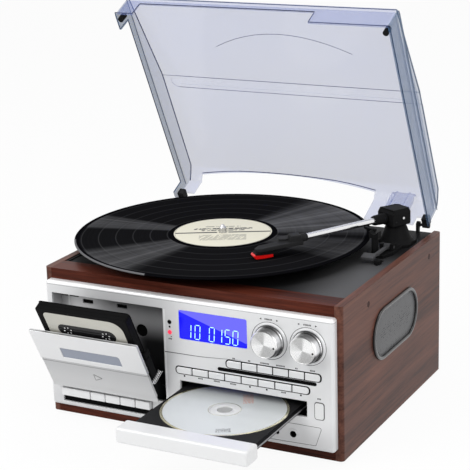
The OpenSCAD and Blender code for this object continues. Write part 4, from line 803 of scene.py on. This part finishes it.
# The CAD nodes that stay, and what each is made of
KEPT = {
    "walnut_side": ("left_side_board", "right_side_board"),
    "walnut_front": ("front_top_rail", "bottom_board"),
    "back_board": ("rear_panel",),
    "rubber": ("rubber_feet", "cover_bumpers"),
    "deck_black": ("turntable_deck",),
    "motor_metal": ("drive_motor",),
    "arm_black": ("tonearm_base", "speed_switch"),
    "panel_silver": ("front_panel",),
    "bay_grey": ("tape_bay",),
    "display_blue": ("display_lens",),
    "board_green": ("main_board",),
    "speaker_black": ("speaker_drivers",),
    "mechanism_grey": ("cd_mechanism",),
    "print_black": ("panel_sockets",),
    "holder_black": ("rear_sockets", "cassette_holder"),
    "steel": ("platter_spindle",),
    "plug_brown": ("case_screws",),
    "shell_grey": ("cover_hinges", "platter"),
    "mat_felt": ("slip_mat",),
    "lever_grey": ("cue_lever",),
    "tray_dark": ("cd_tray",),
    "clear_cover": ("dust_cover",),
}


# ---- settings ----


class CameraSettings(PropertyGroup):
    """Where the photograph was taken from."""

    azimuth: FloatProperty(name="Azimuth", description="Degrees round from the front", default=27.7197)
    elevation: FloatProperty(name="Elevation", description="Degrees above the horizon", default=16.5472)
    roll: FloatProperty(name="Roll", description="Degrees of roll", default=-1.7273)
    lens: FloatProperty(name="Lens", description="Focal length in millimetres", default=118.84, min=1)
    place: FloatVectorProperty(
        name="Place",
        description="Where the camera stands",
        default=(0.68495, -1.33011, 0.61415),
        subtype="TRANSLATION",
    )


class RecordSettings(PropertyGroup):
    """Sizes of the record."""

    radius: FloatProperty(name="Radius", description="Of the record, in millimetres", default=151.0, min=80)
    label_radius: FloatProperty(name="Label", description="Radius in millimetres", default=50.0, min=20)
    steps: IntProperty(name="Steps", description="Points round the record", default=192, min=24)


class MusicCentreSettings(PropertyGroup):
    """Everything that a user would change."""

    camera: PointerProperty(type=CameraSettings)
    record: PointerProperty(type=RecordSettings)


# ---- operators ----


class MUSIC_OT_stage(Operator):
    """Sets the camera, the lights, the floor and the white background."""

    bl_idname = "music_centre.stage"
    bl_label = "Stage"

    def execute(self, context):
        scene = context.scene
        s = scene.music_centre.camera
        az, el, roll = (math.radians(v) for v in (s.azimuth, s.elevation, s.roll))
        back = Vector((math.sin(az) * math.cos(el), -math.cos(az) * math.cos(el), math.sin(el)))
        right = Vector((math.cos(az), math.sin(az), 0))
        up = back.cross(right)
        x = right * math.cos(roll) + up * math.sin(roll)
        y = up * math.cos(roll) - right * math.sin(roll)
        data = bpy.data.cameras.new("camera")
        data.lens = s.lens
        data.sensor_width = 36
        data.clip_start = 0.05
        camera = bpy.data.objects.new("camera", data)
        camera.matrix_world = Matrix.Translation(Vector(s.place)) @ Matrix((x, y, back)).transposed().to_4x4()
        scene.collection.objects.link(camera)
        scene.camera = camera
        scene.view_settings.view_transform = "Standard"

        lamps = {
            "key_lamp": ((-0.75, -1.25, 1.25), (0, 0, 0.08), 1.1, 16.0),
            "fill_lamp": ((1.5, -0.7, 0.9), (0, 0, 0.1), 1.2, 8.0),
            "top_lamp": ((0.25, 0.35, 1.7), (0, 0, 0.1), 0.9, 8.0),
        }
        for name, (place, target, size, power) in lamps.items():
            lamp = bpy.data.lights.new(name, "AREA")
            lamp.size = size
            lamp.energy = power
            holder = bpy.data.objects.new(name, lamp)
            holder.location = place
            holder.rotation_euler = (Vector(target) - Vector(place)).to_track_quat("-Z", "Y").to_euler()
            scene.collection.objects.link(holder)

        m = Maker("studio", "Background", "worlds", "OutputWorld")
        strength = m.node("MapRange", {}, {"Value": m.seen(), "To Min": WORLD_LIGHT, "To Max": 1.0})
        scene.world = m.finish(Color=(1, 1, 1), Strength=strength)

        mesh = bpy.data.meshes.new("floor")
        mesh.from_pydata([(-6, -6, 0), (6, -6, 0), (6, 6, 0), (-6, 6, 0)], [], [(0, 1, 2, 3)])
        floor = bpy.data.objects.new("floor", mesh)
        scene.collection.objects.link(floor)
        m = Maker("floor_white")
        mesh.materials.append(m.finish(Base_Color=(0.93, 0.93, 0.93), Roughness=0.8, Specular_IOR_Level=0.1))
        glow = m.node("Emission")
        shaded = Value(m, m.shader.outputs[0])
        blend = m.node("MixShader", {}, {0: m.seen() * FLOOR_WHITE, 1: shaded, 2: glow})
        m.put(m.output.inputs[0], blend)
        return {"FINISHED"}


class MUSIC_OT_kept(Operator):
    """Gives the solid model's own pieces their materials."""

    bl_idname = "music_centre.kept"
    bl_label = "Solid pieces"

    def execute(self, context):
        for name, nodes in KEPT.items():
            for node in nodes:
                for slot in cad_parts[node].material_slots:
                    slot.material = finish(name)
        return {"FINISHED"}


class MUSIC_OT_record(Operator):
    """Makes the record with its label."""

    bl_idname = "music_centre.record"
    bl_label = "Record"

    def execute(self, context):
        s = context.scene.music_centre.record
        r, lr, t = s.radius, s.label_radius, RECORD_T
        place = mover(PLATTER[0], PLATTER[1], RECORD_Z)
        form = Form("vinyl_black", "label_paper")
        top = [(lr, t - 0.05), (lr + 0.6, t - 0.12), (lr + 4.0, t - 0.15), (lr + 5.2, t - 0.4)]
        top += [(rr, t - 0.4) for rr in np.linspace(lr + 8, r - 7, 12)]
        top += [(r - 4.5, t - 0.3), (r - 3, t - 0.06), (r - 1.4, t), (r - 0.6, t - 0.25)]
        top += [(r - 0.1, t * 0.5 + 0.2)]
        under = [(radius, t - height) for radius, height in top]
        hole = 3.68
        lathe(form, top + under[::-1], place, 0, s.steps)
        lathe(form, [(hole + 0.3, t), (lr, t - 0.05)], place, 1, s.steps)
        lathe(form, [(lr, 0.05), (hole + 0.3, 0)], place, 1, s.steps)
        lathe(form, [(hole + 0.3, 0), (hole, 0.2), (hole, t - 0.2), (hole + 0.3, t)], place, 0, s.steps)
        form.build("record", "turntable", "vinyl_black", "vinyl_record")
        return {"FINISHED"}


class MUSIC_OT_tonearm(Operator):
    """Makes the arm's tube, headshell, cartridge and turret."""

    bl_idname = "music_centre.tonearm"
    bl_label = "Tonearm"

    def execute(self, context):
        z = ARM[2]
        along = ARM_PLACE @ mover(0, 0, z, 90, "X")
        tube = Form("chrome", "arm_black", "shell_grey")
        lathe(tube, [(0, 29), (3.2, 29), (3.2, 114.8), (0, 114.8)], along, 0, 32)
        collet = [(0, 114.4), (3.6, 114.4), (4.0, 114.9), (4.0, 116.2), (3.7, 116.5), (3.7, 117.4)]
        lathe(tube, collet + [(4.0, 117.7), (4.0, 123.5), (0, 124)], along, 2, 32)
        sleeve = [(0, 15.5), (5.5, 15.5), (5.5, 17), (5.2, 17.3), (5.2, 18), (5.5, 18.3)]
        lathe(tube, sleeve + [(5.15, 28), (4.6, 30), (3.3, 30.3), (0, 30.3)], along, 1, 32)
        block(tube, (-4, -16.5, z - 3.4), (4, 6, z + 3.4), 0.8, 1, ARM_PLACE)
        axle = [(0, -11.6), (1.5, -11.6), (1.5, 11.6), (0, 11.6)]
        lathe(tube, axle, ARM_PLACE @ mover(0, 0, z, 90, "Y"), 1, 20)
        tube.build("tonearm_tube", "tonearm", "arm_silver", "arm_tube")

        shell = Form("shell_grey", "arm_black")
        half = [(-5, 4), (-6.5, -8), (-6.5, -38), (-2.5, -44)]
        body = outline(half + [(-x, y) for x, y in half[::-1]], (1.2, 3, 3, 1.5, 1.5, 3, 3, 1.2), 4)
        # Flat behind, its front half drawn down to the nose; t runs from the underside to the top
        levels = [(0.5, 0.0), (0.0, 0.12), (0.0, 0.8), (0.25, 0.93), (0.9, 1.0)]
        rows = np.stack([level(body, d, t) for d, t in levels])
        bend = np.clip((-rows[..., 1] - 22) / 22, 0, 1)
        top, under = z - 1.2 - 4 * bend, z - 5.3 - 0.5 * np.clip(-rows[..., 1] / 22, 0, 1) - 2.4 * bend
        rows[..., 2] = under + rows[..., 2] * (top - under)
        solid(shell, rows, 0, SHELL_PLACE)
        block(shell, (-5.6, -9, z - 4.8), (5.6, 2, z + 4.7), 1.2, 0, SHELL_PLACE)
        lift = [(-3.5, -4), (-3.5, -12), (-5.5, -18), (-13.5, -17), (-16.5, -3), (-9.5, -2)]
        slab(shell, outline(lift, (0.3, 1, 2, 3, 3, 1), 4)[::-1], z - 2.0, z - 0.1, 0.5, 0, SHELL_PLACE)
        shell.build("arm_headshell", "tonearm", "shell_grey", "headshell")

        tip = Form("arm_black", "stylus_red", "chrome")
        body = outline([(-22, 171.2), (-40, 171.2), (-45.4, 171.6), (-44, 173.9), (-22, 176.3)], 0.3, 3)[::-1]
        slab(tip, body, -5.2, 5.2, 0.4, 0, SHELL_PLACE @ SIDE)
        nose = [(-27, 168.2), (-36, 167.5), (-44.6, 167.5), (-47.1, 170.7), (-45.8, 172.1), (-27, 172.5)]
        slab(tip, outline(nose, (0.5, 1, 0.8, 0.8, 0.8, 0.5), 4)[::-1], -4.9, 4.9, 0.6, 1, SHELL_PLACE @ SIDE)
        lathe(tip, [(0, 167.25), (0.3, 167.3), (0.8, 169), (0, 169)], SHELL_PLACE @ mover(0, -43.6, 0), 2, 16)
        tip.build("arm_cartridge", "tonearm", "stylus_red", "cartridge")

        turret = Form("arm_black", "white_silver", "shell_grey")
        plan = outline([(-12, -14), (12, -14), (12, 8.5), (8.5, 12), (-8.5, 12), (-12, 8.5)], 0.6, 3)
        z0, z1 = TURRET_Z0, z + 9
        levels = [(0.7, z0), (0.0, z0 + 0.7), (0.0, z1 - 4.2), (0.25, z1 - 3.7), (1.9, z1 - 0.9), (2.6, z1)]
        solid(turret, [level(plan, d, h) for d, h in levels], 0, ARM_PLACE)
        lathe(turret, [(0, 153), (3, 153), (3, z0 + 2), (0, z0 + 2)], ARM_PLACE, 0, 24)
        for side_x in (-1, 1):
            spot = ARM_PLACE @ mover(side_x * 11.6, 0, z, 90 * side_x, "Y")
            lathe(turret, [(0, 0.6), (1.2, 0.6), (1.4, 0.3), (1.4, 0), (0, 0)], spot, 1, 16)
            for y in (-9.5, 8):
                spot = ARM_PLACE @ mover(side_x * 11.6, y, z - 3, 90 * side_x, "Y")
                lathe(turret, [(0, 0.5), (0.8, 0.5), (1.1, 0.3), (1.1, 0), (0, 0)], spot, 2, 12)
        turret.build("arm_turret_body", "arm_carrier", "arm_black", "arm_turret")
        return {"FINISHED"}


class MUSIC_OT_knobs(Operator):
    """Makes the two knobs with their spun faces and pointer dots."""

    bl_idname = "music_centre.knobs"
    bl_label = "Knobs"

    def execute(self, context):
        names = (("tuning_dial", "tuning", "tuning_knob"), ("volume_dial", "volume", "volume_knob"))
        for i, (name, body, node) in enumerate(names):
            form = Form(f"knob_side_{i + 1}", f"knob_face_{i + 1}", "print_black")
            place = mover(KNOBS[i], PANEL_Y, KNOB_Z, 90, "X")
            skirt = [(0, 0.5), (14.5, 0.5), (14.8, 0.8), (14.8, 2.4), (14.4, 2.9), (13.2, 3.0)]
            lathe(form, skirt, place, 0)
            lathe(form, [(13.2, 3.0), (13.0, 3.2), (13.0, 4.2), (13.3, 4.4)], place, 2)
            barrel = [(13.3, 4.4), (13.9, 4.6), (14.0, 5.0), (13.75, 10.9), (13.5, 11.6), (13.0, 12.3)]
            lathe(form, barrel + [(12.5, 12.6)], place, 0)
            lathe(form, [(12.5, 12.6), (12.2, 12.5), (12.0, 12.3), (6, 12.42), (0, 12.45)], place, 1)
            turn = math.radians(-12 + 4 * i)
            dot = place @ mover(10.2 * math.cos(turn), 10.2 * math.sin(turn), 12.2)
            lathe(form, [(0, 0.45), (0.9, 0.45), (1.0, 0.2), (1.0, 0), (0, 0)], dot, 2, 16)
            form.build(name, body, "knob_silver", node)
        return {"FINISHED"}


class MUSIC_OT_buttons(Operator):
    """Makes the two rows of push buttons and the piano keys."""

    bl_idname = "music_centre.buttons"
    bl_label = "Buttons and keys"

    def execute(self, context):
        for row, x0, pitch, z, h, count in ROWS:
            for i in range(count):
                left = x0 + pitch * i + 0.55
                right = x0 + pitch * (i + 1) - 0.55
                first, last = (2.6 if end else 0.5 for end in (i == 0, i == count - 1))
                shape = outline(rect(left, z - h / 2, right, z + h / 2), (first, last, last, first), 4)
                form = Form("button_silver", "print_black")
                # A black core under each button, so that the gaps round it show black as painted shade
                mark(form, inset(shape, 0.12), 0.3, 1, sink=3.2)
                mark(form, shape, 1.2, 0, sink=-0.25, edge=0.6)
                middle = (left + right) / 2
                block(form, (middle - 2, PANEL_Y + 3, z - 2), (middle + 2, PANEL_Y + 12, z + 2), 0.3, 1)
                form.build(f"{row}_push_{i + 1}", f"{row}_{i + 1}", "button_silver", f"{row}_button_{i + 1}")
        for i in range(5):
            form = Form("white_silver", "holder_black")
            left, right = KEY_EDGES[i] + 0.4, KEY_EDGES[i + 1] - 0.4
            middle = (left + right) / 2
            block(form, (left, PANEL_Y - 4.5, 27.2), (right, PANEL_Y + 7, 35.4), 0.8, 0)
            block(form, (middle - 3, PANEL_Y + 6, 26), (middle + 3, PANEL_Y + 37, 32), 0.4, 1)
            form.build(f"piano_key_{i + 1}", f"key_{i + 1}", "key_silver", f"tape_key_{i + 1}")
        return {"FINISHED"}


class MUSIC_OT_tape_deck(Operator):
    """Makes the cassette, its door and the spring beside it."""

    bl_idname = "music_centre.tape_deck"
    bl_label = "Tape deck"

    def execute(self, context):
        place = DOOR @ FRONT
        x0, x1 = TAPE_X - 50.2, TAPE_X + 50.2
        bottom = TAPE_TOP - 63.8
        tape = Form("tape_black", "tape_label", "gloss_black", "hub_white")
        # Two halves that meet in a fine seam
        shell = rect(x0, bottom, x1, TAPE_TOP, 3)
        slab(tape, shell, 0.12 - TAPE_N, 4.4 - TAPE_N, 0.7, 0, place)
        slab(tape, shell[::-1], TAPE_N + 0.12, TAPE_N + 4.4, 0.7, 0, place @ np.diag([1, 1, -1, 1.0]))
        core = rect(x0 + 0.5, bottom + 0.5, x1 - 0.5, TAPE_TOP - 0.5, 3)
        slab(tape, core, -TAPE_N - 0.2, -TAPE_N + 0.2, 0.05, 0, place)
        block(tape, (TAPE_X - 38, TAPE_N - 6, bottom), (TAPE_X + 38, TAPE_N + 6, bottom + 15), 0.8, 0, DOOR)
        front = -(TAPE_N - 4.4)
        label = outline(rect(x0 + 7, bottom + 19, x1 - 7, TAPE_TOP - 5), (1, 1, 13, 5), 8)
        slab(tape, label, front - 0.3, front + 0.12, 0.08, 1, place)
        window = rect(TAPE_X - 32, TAPE_TOP - 33, TAPE_X + 32, TAPE_TOP - 18.5, 7)
        slab(tape, window, front - 0.3, front + 0.3, 0.2, 2, place)
        for hub in (-21.25, 21.25):
            spot = place @ mover(TAPE_X + hub, TAPE_TOP - 26, front)
            ring = [(4.4, 0.1), (5.6, 0.1), (5.6, 0.42), (5.3, 0.5), (4.7, 0.5), (4.4, 0.42), (4.4, 0.1)]
            lathe(tape, ring, spot, 2, 32)
            for k in range(6):
                block(tape, (3.2, -0.45, 0.1), (4.7, 0.45, 0.6), 0.1, 3, spot @ mover(turn=60 * k + 12), 2)
        top = TAPE_TOP - 3.2
        for x, s in ((x0 + 3.4, top), (x1 - 3.4, top), (x0 + 4, bottom + 4), (x1 - 4, bottom + 4)):
            lathe(tape, [(0, 0.1), (0.7, 0.15), (1.1, 0.1), (1.2, -0.1)], place @ mover(x, s, front), 0, 12)
        tape.build("tape_cassette", "tape", "cassette_black", "cassette")

        door = Form("door_silver", "door_lower", "window_grey", "groove_grey")
        x0, x1 = DOOR_X
        s0, s1 = DOOR_S
        upper = outline(rect(x0, CREASE_S, x1, s1), (0.2, 0.2, 1.2, 1.2), 4)
        slab(door, upper, -2.9, -0.9, 0.1, 0, place)
        window = outline(rect(*WINDOW), (0.3, 0.3, 2.5, 0.3), 4)
        rim(door, upper, window, -1.0, 0.0, 0.35, 0, place)
        slab(door, inset(window, 0.05), -1.0, -0.62, 0.05, 2, place)
        # The lower half and its foot in the darker silver, as painted shade
        lower = outline(rect(x0 + 0.6, s0 + 8, x1 - 0.6, CREASE_S), (0.8, 0.8, 0.2, 0.2), 4)
        slab(door, lower, -2.9, -0.55, 0.3, 1, place)
        foot = rect(x0 + 0.6, s0 + 1.5, x1 - 0.6, s0 + 9, 0.6)
        slab(door, foot, -1.6, -0.55, 0.3, 1, place)
        for low, high in ((0.5, -0.1), (3.2, 2.8)):
            crease = rect(x0 + 0.3, CREASE_S - low, x1 - 0.3, CREASE_S - high, 0.1)
            slab(door, crease, -2.0, -0.4, 0.1, 3, place)
        arrow = outline([(-91.0, 48.0), (-81.5, 43.2), (-91.0, 38.6)][::-1], 0.6, 3)
        slab(door, arrow, -0.6, -0.45, 0.05, 3, place)
        slab(door, inset(arrow, 0.7), -0.6, -0.4, 0.05, 1, place)
        door.build("door_fascia", "door", "door_silver", "tape_door")

        bracket = Form("holder_black", "white_silver")
        block(bracket, (-29.4, 4, 53), (-24.4, 12, 76), 0.8, 0, DOOR)
        block(bracket, (-28.4, 6, 74), (-25.4, 15, 82), 0.8, 0, DOOR)
        block(bracket, (-27.8, 3.4, 66), (-26.4, 12.4, 68), 0.3, 1, DOOR)
        bracket.build("door_bracket", "door", "holder_black")

        spring = Form("chrome")
        turns, sides = 7, 20
        a = np.linspace(0, turns * 2 * math.pi, turns * sides + 1)
        n = 3.6 + 16.9 * a / a[-1]
        path = np.stack([-26.7 + 2.1 * np.cos(a), n, 45 + 2.1 * np.sin(a)], axis=-1)
        pipe(spring, path, 0.4, 0, DOOR, 8, (0.0, 1.0, 0.0))
        spring.build("door_coil", "door", "spring_steel", "door_spring")
        return {"FINISHED"}


class MUSIC_OT_compact_disc(Operator):
    """Makes the compact disc and the tray's fascia."""

    bl_idname = "music_centre.compact_disc"
    bl_label = "Disc and tray"

    def execute(self, context):
        form = Form("disc_face", "disc_clear")
        place = mover(*DISC)
        top = [(r, 1.2) for r in (15, 21.5, 30, 40, 50, 58)] + [(59.6, 1.2), (60, 1.0), (60, 0.2), (59.6, 0)]
        top += [(58, 0), (40, 0), (15, 0)]
        lathe(form, top, place, 0, 160)
        under = [(15, 0), (13.5, 0), (13.2, 0.15), (12.6, 0.15), (12.3, 0), (7.8, 0), (7.5, 0.2)]
        lathe(form, under + [(r, 1.2 - z) for r, z in under[::-1]], place, 1, 96)
        form.build("audio_disc", "disc", "disc_silver", "compact_disc")
        fascia = Form("white_silver", "tray_dark")
        block(fascia, *FASCIA, 2.6, 0, None, 5)
        fascia.build("tray_front", "tray", "fascia_silver", "tray_fascia")
        return {"FINISHED"}


class MUSIC_OT_grilles(Operator):
    """Makes the two speaker grilles: a glossy bezel round a crowned, perforated sheet."""

    bl_idname = "music_centre.grilles"
    bl_label = "Speaker grilles"

    def execute(self, context):
        form = Form("grille_weave", "bezel_black")
        half = np.linspace(-math.pi / 2, math.pi / 2, 25)
        half = np.concatenate([half, half + math.pi])
        shift = np.repeat([31.0, -31.0], 25)

        def oval(r):
            return np.stack([shift + r * np.cos(half), 97.6 + r * np.sin(half)], axis=-1)

        for sign in (1, -1):
            place = np.diag([sign, 1, 1, 1.0]) @ SIDE
            rim(form, oval(25.9), oval(22.6), 157.0, 161.4, 1.1, 1, place, 4)
            crown = [(r, 159.0 + 1.1 * (1 - (r / 22.8) ** 2)) for r in (22.8, 18, 12, 6, 0.5)]
            solid(form, [level(oval(r), 0, z) for r, z in [(22.8, 157.5), *crown]], 0, place)
        form.build("side_grilles", "root", "grille_grey", "speaker_grilles")
        return {"FINISHED"}


# Name, left end, pitch, middle height, height and number of the buttons of each row
ROWS = (("function", 44.6, 16.1, 86.9, 6.8, 6), ("cd", -9.6, 17.4, 72.9, 6.4, 8))

# The lit bars of each digit, lettered clockwise from the top, with g in the middle
SEGMENTS = {"0": "abcdef", "1": "bc", "5": "afgcd"}


class MUSIC_OT_panel_marks(Operator):
    """Makes the display's digits, the printed marks, the lamp and the fittings on the front panel."""

    bl_idname = "music_centre.panel_marks"
    bl_label = "Panel marks"

    def execute(self, context):
        form = Form("print_black")
        mark(form, rect(35.2, 78.6, 136.9, 82.2, 1.7), 0.25, sink=0.5, edge=0.1)
        for x, way in ((81.4, -1), (98.4, 1), (119.6, -1), (137.1, 1)):
            arrow = [(x - 0.9 * way, 135.6), (x + 0.9 * way, 136.5), (x - 0.9 * way, 137.4)]
            mark(form, outline(arrow[::way], 0.1, 2))
        (_, x0, pitch, _, _, _), (_, cd_x0, cd_pitch, _, _, _) = ROWS
        for k in (0, 4, 5, 7):
            x = cd_x0 + cd_pitch * (k + 0.5)
            mark(form, rect(x - 0.8, 66.5, x + 0.8, 68.1, 0.2, 2))
        # Short rows of strokes in place of captions: middle, height and number of strokes
        captions = [(x0 + pitch * (i + 0.5), 93.0, n) for i, n in enumerate((2, 2, 7, 7, 2, 4))]
        captions += [(cd_x0 + cd_pitch * (i + 0.5), 67.2, n) for i, n in enumerate((0, 4, 5, 5, 0, 0, 4, 0))]
        captions += [(89.6, 136.6, 6), (128.6, 136.6, 6), (139.4, 66.6, 3), (-14.6, 103.0, 3)]
        for x, z, count in captions:
            for k in range(count):
                low = x - 0.65 * count + 1.3 * k
                mark(form, rect(low, z - 0.7, low + 0.8, z + 0.7, 0.15, 2), 0.1, edge=0.03)
        # Dark rings between the knobs and their collars, and round the collars
        for x in KNOBS:
            for outer, inner, rise, sink in ((15.6, 14.95, 0.4, 0.5), (18.3, 17.9, 0.1, 0.3)):
                circles = (disc_outline(x, KNOB_Z, r, 64) for r in (outer, inner))
                frame_mark(form, *circles, rise, sink=sink)
        # Black frames round the rows of buttons and a black plate under the keys, as painted shade in those
        # gaps
        for _, x0, pitch, z, h, count in ROWS:
            ends = (x0 - 0.9, z - h / 2 - 1.0, x0 + count * pitch + 0.9, z + h / 2 + 1.0)
            inner = (x0 + 0.1, z - h / 2 - 0.25, x0 + count * pitch - 0.1, z + h / 2 + 0.25)
            frame_mark(form, rect(*ends, 3.6), rect(*inner, 2.9), sink=3)
        mark(form, rect(KEY_EDGES[0] - 0.4, 19.5, KEY_EDGES[-1] + 0.4, 23.9), -2.0, sink=2.4)
        form.build("panel_marks", "root", "socket_black")

        lines = Form("groove_grey", "panel_silver", "white_silver")
        # The shelf line that runs right from the bay and fades out under the display
        shelf = [(-21.4, 89.2, 0), (-4, 89.4, 0), (18, 89.6, 0), (43, 91.2, 0), (60, 92.4, 0)]
        path = smooth_path(shelf, 6)[:, :2]
        wide = np.linspace(0.45, 0.1, len(path))
        up = np.column_stack([0 * wide, wide])
        mark(lines, np.concatenate([path - up, (path + up)[::-1]]), 0.18)
        plate = outline([(84.5, 18.4), (135.5, 19.3), (141.9, 38.4), (107, 38.4)], (1.5, 1.5, 2, 2), 4)
        frame_mark(lines, inset(plate, -0.5), plate, 0.15, 2, edge=0.1)
        frame_mark(lines, plate, inset(plate, 0.5), 0.15, 0, edge=0.1)
        # Rings that narrow the two round sockets
        for x, z, outer, bore in SOCKETS:
            frame_mark(lines, disc_outline(x, z, outer), disc_outline(x, z, bore), 0.45, 1, edge=0.1)
        lines.build("panel_lines", "root", "panel_silver")

        digits = Form("digit_white")
        wide, tall, thick, lean = 5.2, 14.0, 0.8, 0.06
        z0 = 106.2
        for x, digit in ((2.0, "1"), (11.6, "0"), (26.8, "0"), (34.8, "1"), (43.4, "5"), (51.6, "0")):
            half = tall / 2
            bars = {
                "a": ((0.6, tall), (wide - 0.6, tall)),
                "g": ((0.6, half), (wide - 0.6, half)),
                "d": ((0.6, 0), (wide - 0.6, 0)),
                "f": ((0, tall - 0.6), (0, half + 0.6)),
                "b": ((wide, tall - 0.6), (wide, half + 0.6)),
                "e": ((0, half - 0.6), (0, 0.6)),
                "c": ((wide, half - 0.6), (wide, 0.6)),
            }
            for key in SEGMENTS[digit]:
                (ax, az), (bx, bz) = bars[key]
                level = key in "agd"
                dx, dz = (0, thick / 2) if level else (thick / 2, 0)
                low = (min(ax, bx) - dx, min(az, bz) - dz)
                high = (max(ax, bx) + dx, max(az, bz) + dz)
                shape = rect(low[0], low[1], high[0], high[1], 0.3, 2)
                shape = shape + np.column_stack([shape[:, 1] * lean + x, np.full(len(shape), z0)])
                mark(digits, shape, -0.45, sink=0.9)
        digits.build("display_digits", "root", "lens_blue")

        lamp = Form("lamp_red", "print_black")
        cap = [(0, 1.0), (1.0, 0.95), (1.8, 0.7), (2.12, 0.2), (2.12, -1.5), (0, -1.5)]
        for k, z in enumerate((LAMP[1], SENSOR_Z)):
            lathe(lamp, cap, mover(LAMP[0], PANEL_Y, z, 90, "X"), k, 24)
        for place in ((-15.9, 114.2, -14.1, 116.0), (-14.2, 105.0, -12.9, 105.8)):
            mark(lamp, rect(*place, 0.2, 2), 0.12, 1)
        lamp.build("panel_lamp", "root", "lens_blue")

        port = Form("white_silver", "groove_grey")
        mark(port, rect(134.9, 46.6, 143.9, 62.6, 2.3), 0.75, 0, sink=1, edge=0.3)
        gap = rect(134.3, 45.9, 144.5, 63.3, 2.7), rect(134.7, 46.3, 144.1, 62.9, 2.4)
        frame_mark(port, *gap, 0.25, 1, sink=1)
        port.build("port_cover", "root", "panel_silver")
        return {"FINISHED"}


class MUSIC_OT_bay(Operator):
    """Makes what shows inside the cassette bay."""

    bl_idname = "music_centre.bay"
    bl_label = "Cassette bay"

    def execute(self, context):
        form = Form("bay_dark", "white_silver", "print_black")
        # A dark plate as the painted shade of the recess at the upper left, with its pale divider
        slab(form, rect(-146.6, 124.5, -127, 133.0, 0.4), BAY_PLATE - 0.5, BAY_PLATE + 0.1, 0.05, 0, FRONT)
        slab(form, rect(-139.4, 100, -137.4, 133.0, 0.3), BAY_PLATE - 0.5, BAY_PLATE + 0.2, 0.1, 1, FRONT)
        # Black plates behind the plate's slots and its hole, as painted shade
        slots = [rect(x - 1, 118.4, x + 12.8, 124.5, 0.4) for x in (-122.5, -83.7)]
        for shape in (*slots, disc_outline(-56.4, 99.6, 7.6)):
            slab(form, shape, BAY_PLATE - 2.1, BAY_PLATE - 1.7, 0.05, 2, FRONT)
        form.build("bay_fittings", "root", "bay_grey")
        return {"FINISHED"}


class MUSIC_OT_cover_lines(Operator):
    """Makes the dark cut edges of the dust cover and the relief on its roof."""

    bl_idname = "music_centre.cover_lines"
    bl_label = "Cover edges"

    def execute(self, context):
        form = Form("cover_edge", "cover_strip")

        def line(points, radius=0.35, finish=0):
            """A thin rod through places given as x, distance from the rear and height over the rim."""
            points = np.asarray(points, float)
            path = np.stack([points[:, 0], COVER_Y - points[:, 1], COVER_Z + points[:, 2]], axis=-1)
            steps = np.linspace(0, len(path) - 1, 6 * (len(path) - 1) + 1)
            path = np.stack([np.interp(steps, np.arange(len(path)), path[:, k]) for k in range(3)], axis=-1)
            pipe(form, path, radius, finish, COVER, 8, (0.31, 0.52, 0.79))

        for side in (-1, 1):
            x, step = 149.4 * side, 146.9 * side
            profile = ((-2.4, 33), (4, 38.4), (12, 43.4), (137, 43.4), (246.4, 27))
            line([(step, a, h) for a, h in profile], 0.55)
            line([(x, -2, 26.4), (x, 246, 26.4)], 0.35)
        line([(149.4, -2, 0.6), (149.4, 246.4, 0.6)], 0.55)
        cut = ((7.6, 0.6), (7.6, 18), (226, 18), (226, 0.6), (246, 0.6))
        line([(-149.4, a, h) for a, h in cut], 0.5)
        lip = [(-149.4, 246.4, 0.6), (-129, 246.4, 0.6), (-129, 246.4, 18), (66, 246.4, 18), (66, 246.4, 0.6)]
        line(lip + [(149.4, 246.4, 0.6)], 0.5)
        line([(-147, 246.4, 27), (147, 246.4, 27)], 0.5)
        line([(-147, 137, 43.7), (147, 137, 43.7)], 0.2)
        # The drawn-in rear edge of the roof
        across = np.linspace(-132, 77, 15)
        bow = 5 + 7 * (1 - ((across + 27.5) / 104.5) ** 2)
        line(np.stack([across, bow, np.clip(33 + (bow + 3) * 0.8, 33, 43)], axis=-1), 0.5)
        # The curved relief on the slope
        across = np.linspace(-66, 86, 13)
        far = 184 + 22 * (1 - ((across - 10) / 76) ** 2)
        line(np.stack([across, far, 43.8 - (far - 137) * 16.4 / 110], axis=-1), 0.25)
        # The groove's edges, and a pale rod in it as a painted highlight
        for a in (122.6, 137.4):
            line([(-130.5, a, 43.4), (147, a, 43.4)], 0.25)
        line([(-129, 127, 43.3), (146, 127, 43.3)], 0.12, 1)
        form.build("cover_edges", "cover", "cover_trim")
        return {"FINISHED"}


OPERATORS = (
    MUSIC_OT_stage,
    MUSIC_OT_kept,
    MUSIC_OT_record,
    MUSIC_OT_tonearm,
    MUSIC_OT_knobs,
    MUSIC_OT_buttons,
    MUSIC_OT_tape_deck,
    MUSIC_OT_compact_disc,
    MUSIC_OT_grilles,
    MUSIC_OT_panel_marks,
    MUSIC_OT_bay,
    MUSIC_OT_cover_lines,
)


class MUSIC_PT_pieces(Panel):
    """Lists the pieces in the 3D view's sidebar."""

    bl_idname = "MUSIC_PT_pieces"
    bl_label = "Music Centre"
    bl_space_type = "VIEW_3D"
    bl_region_type = "UI"
    bl_category = "Music Centre"

    def draw(self, context):
        settings = context.scene.music_centre
        for operator in OPERATORS:
            self.layout.operator(operator.bl_idname)
        for group in (settings.camera, settings.record):
            box = self.layout.box()
            for key in group.bl_rna.properties.keys():
                if key not in ("rna_type", "name"):
                    box.prop(group, key)


CLASSES = (CameraSettings, RecordSettings, MusicCentreSettings, *OPERATORS, MUSIC_PT_pieces)


def register():
    for each in CLASSES:
        bpy.utils.register_class(each)
    bpy.types.Scene.music_centre = PointerProperty(type=MusicCentreSettings)


def unregister():
    del bpy.types.Scene.music_centre
    for each in reversed(CLASSES):
        bpy.utils.unregister_class(each)


def main():
    register()
    for operator in OPERATORS:
        space, name = operator.bl_idname.split(".")
        getattr(getattr(bpy.ops, space), name)()


if __name__ == "__main__":
    main()
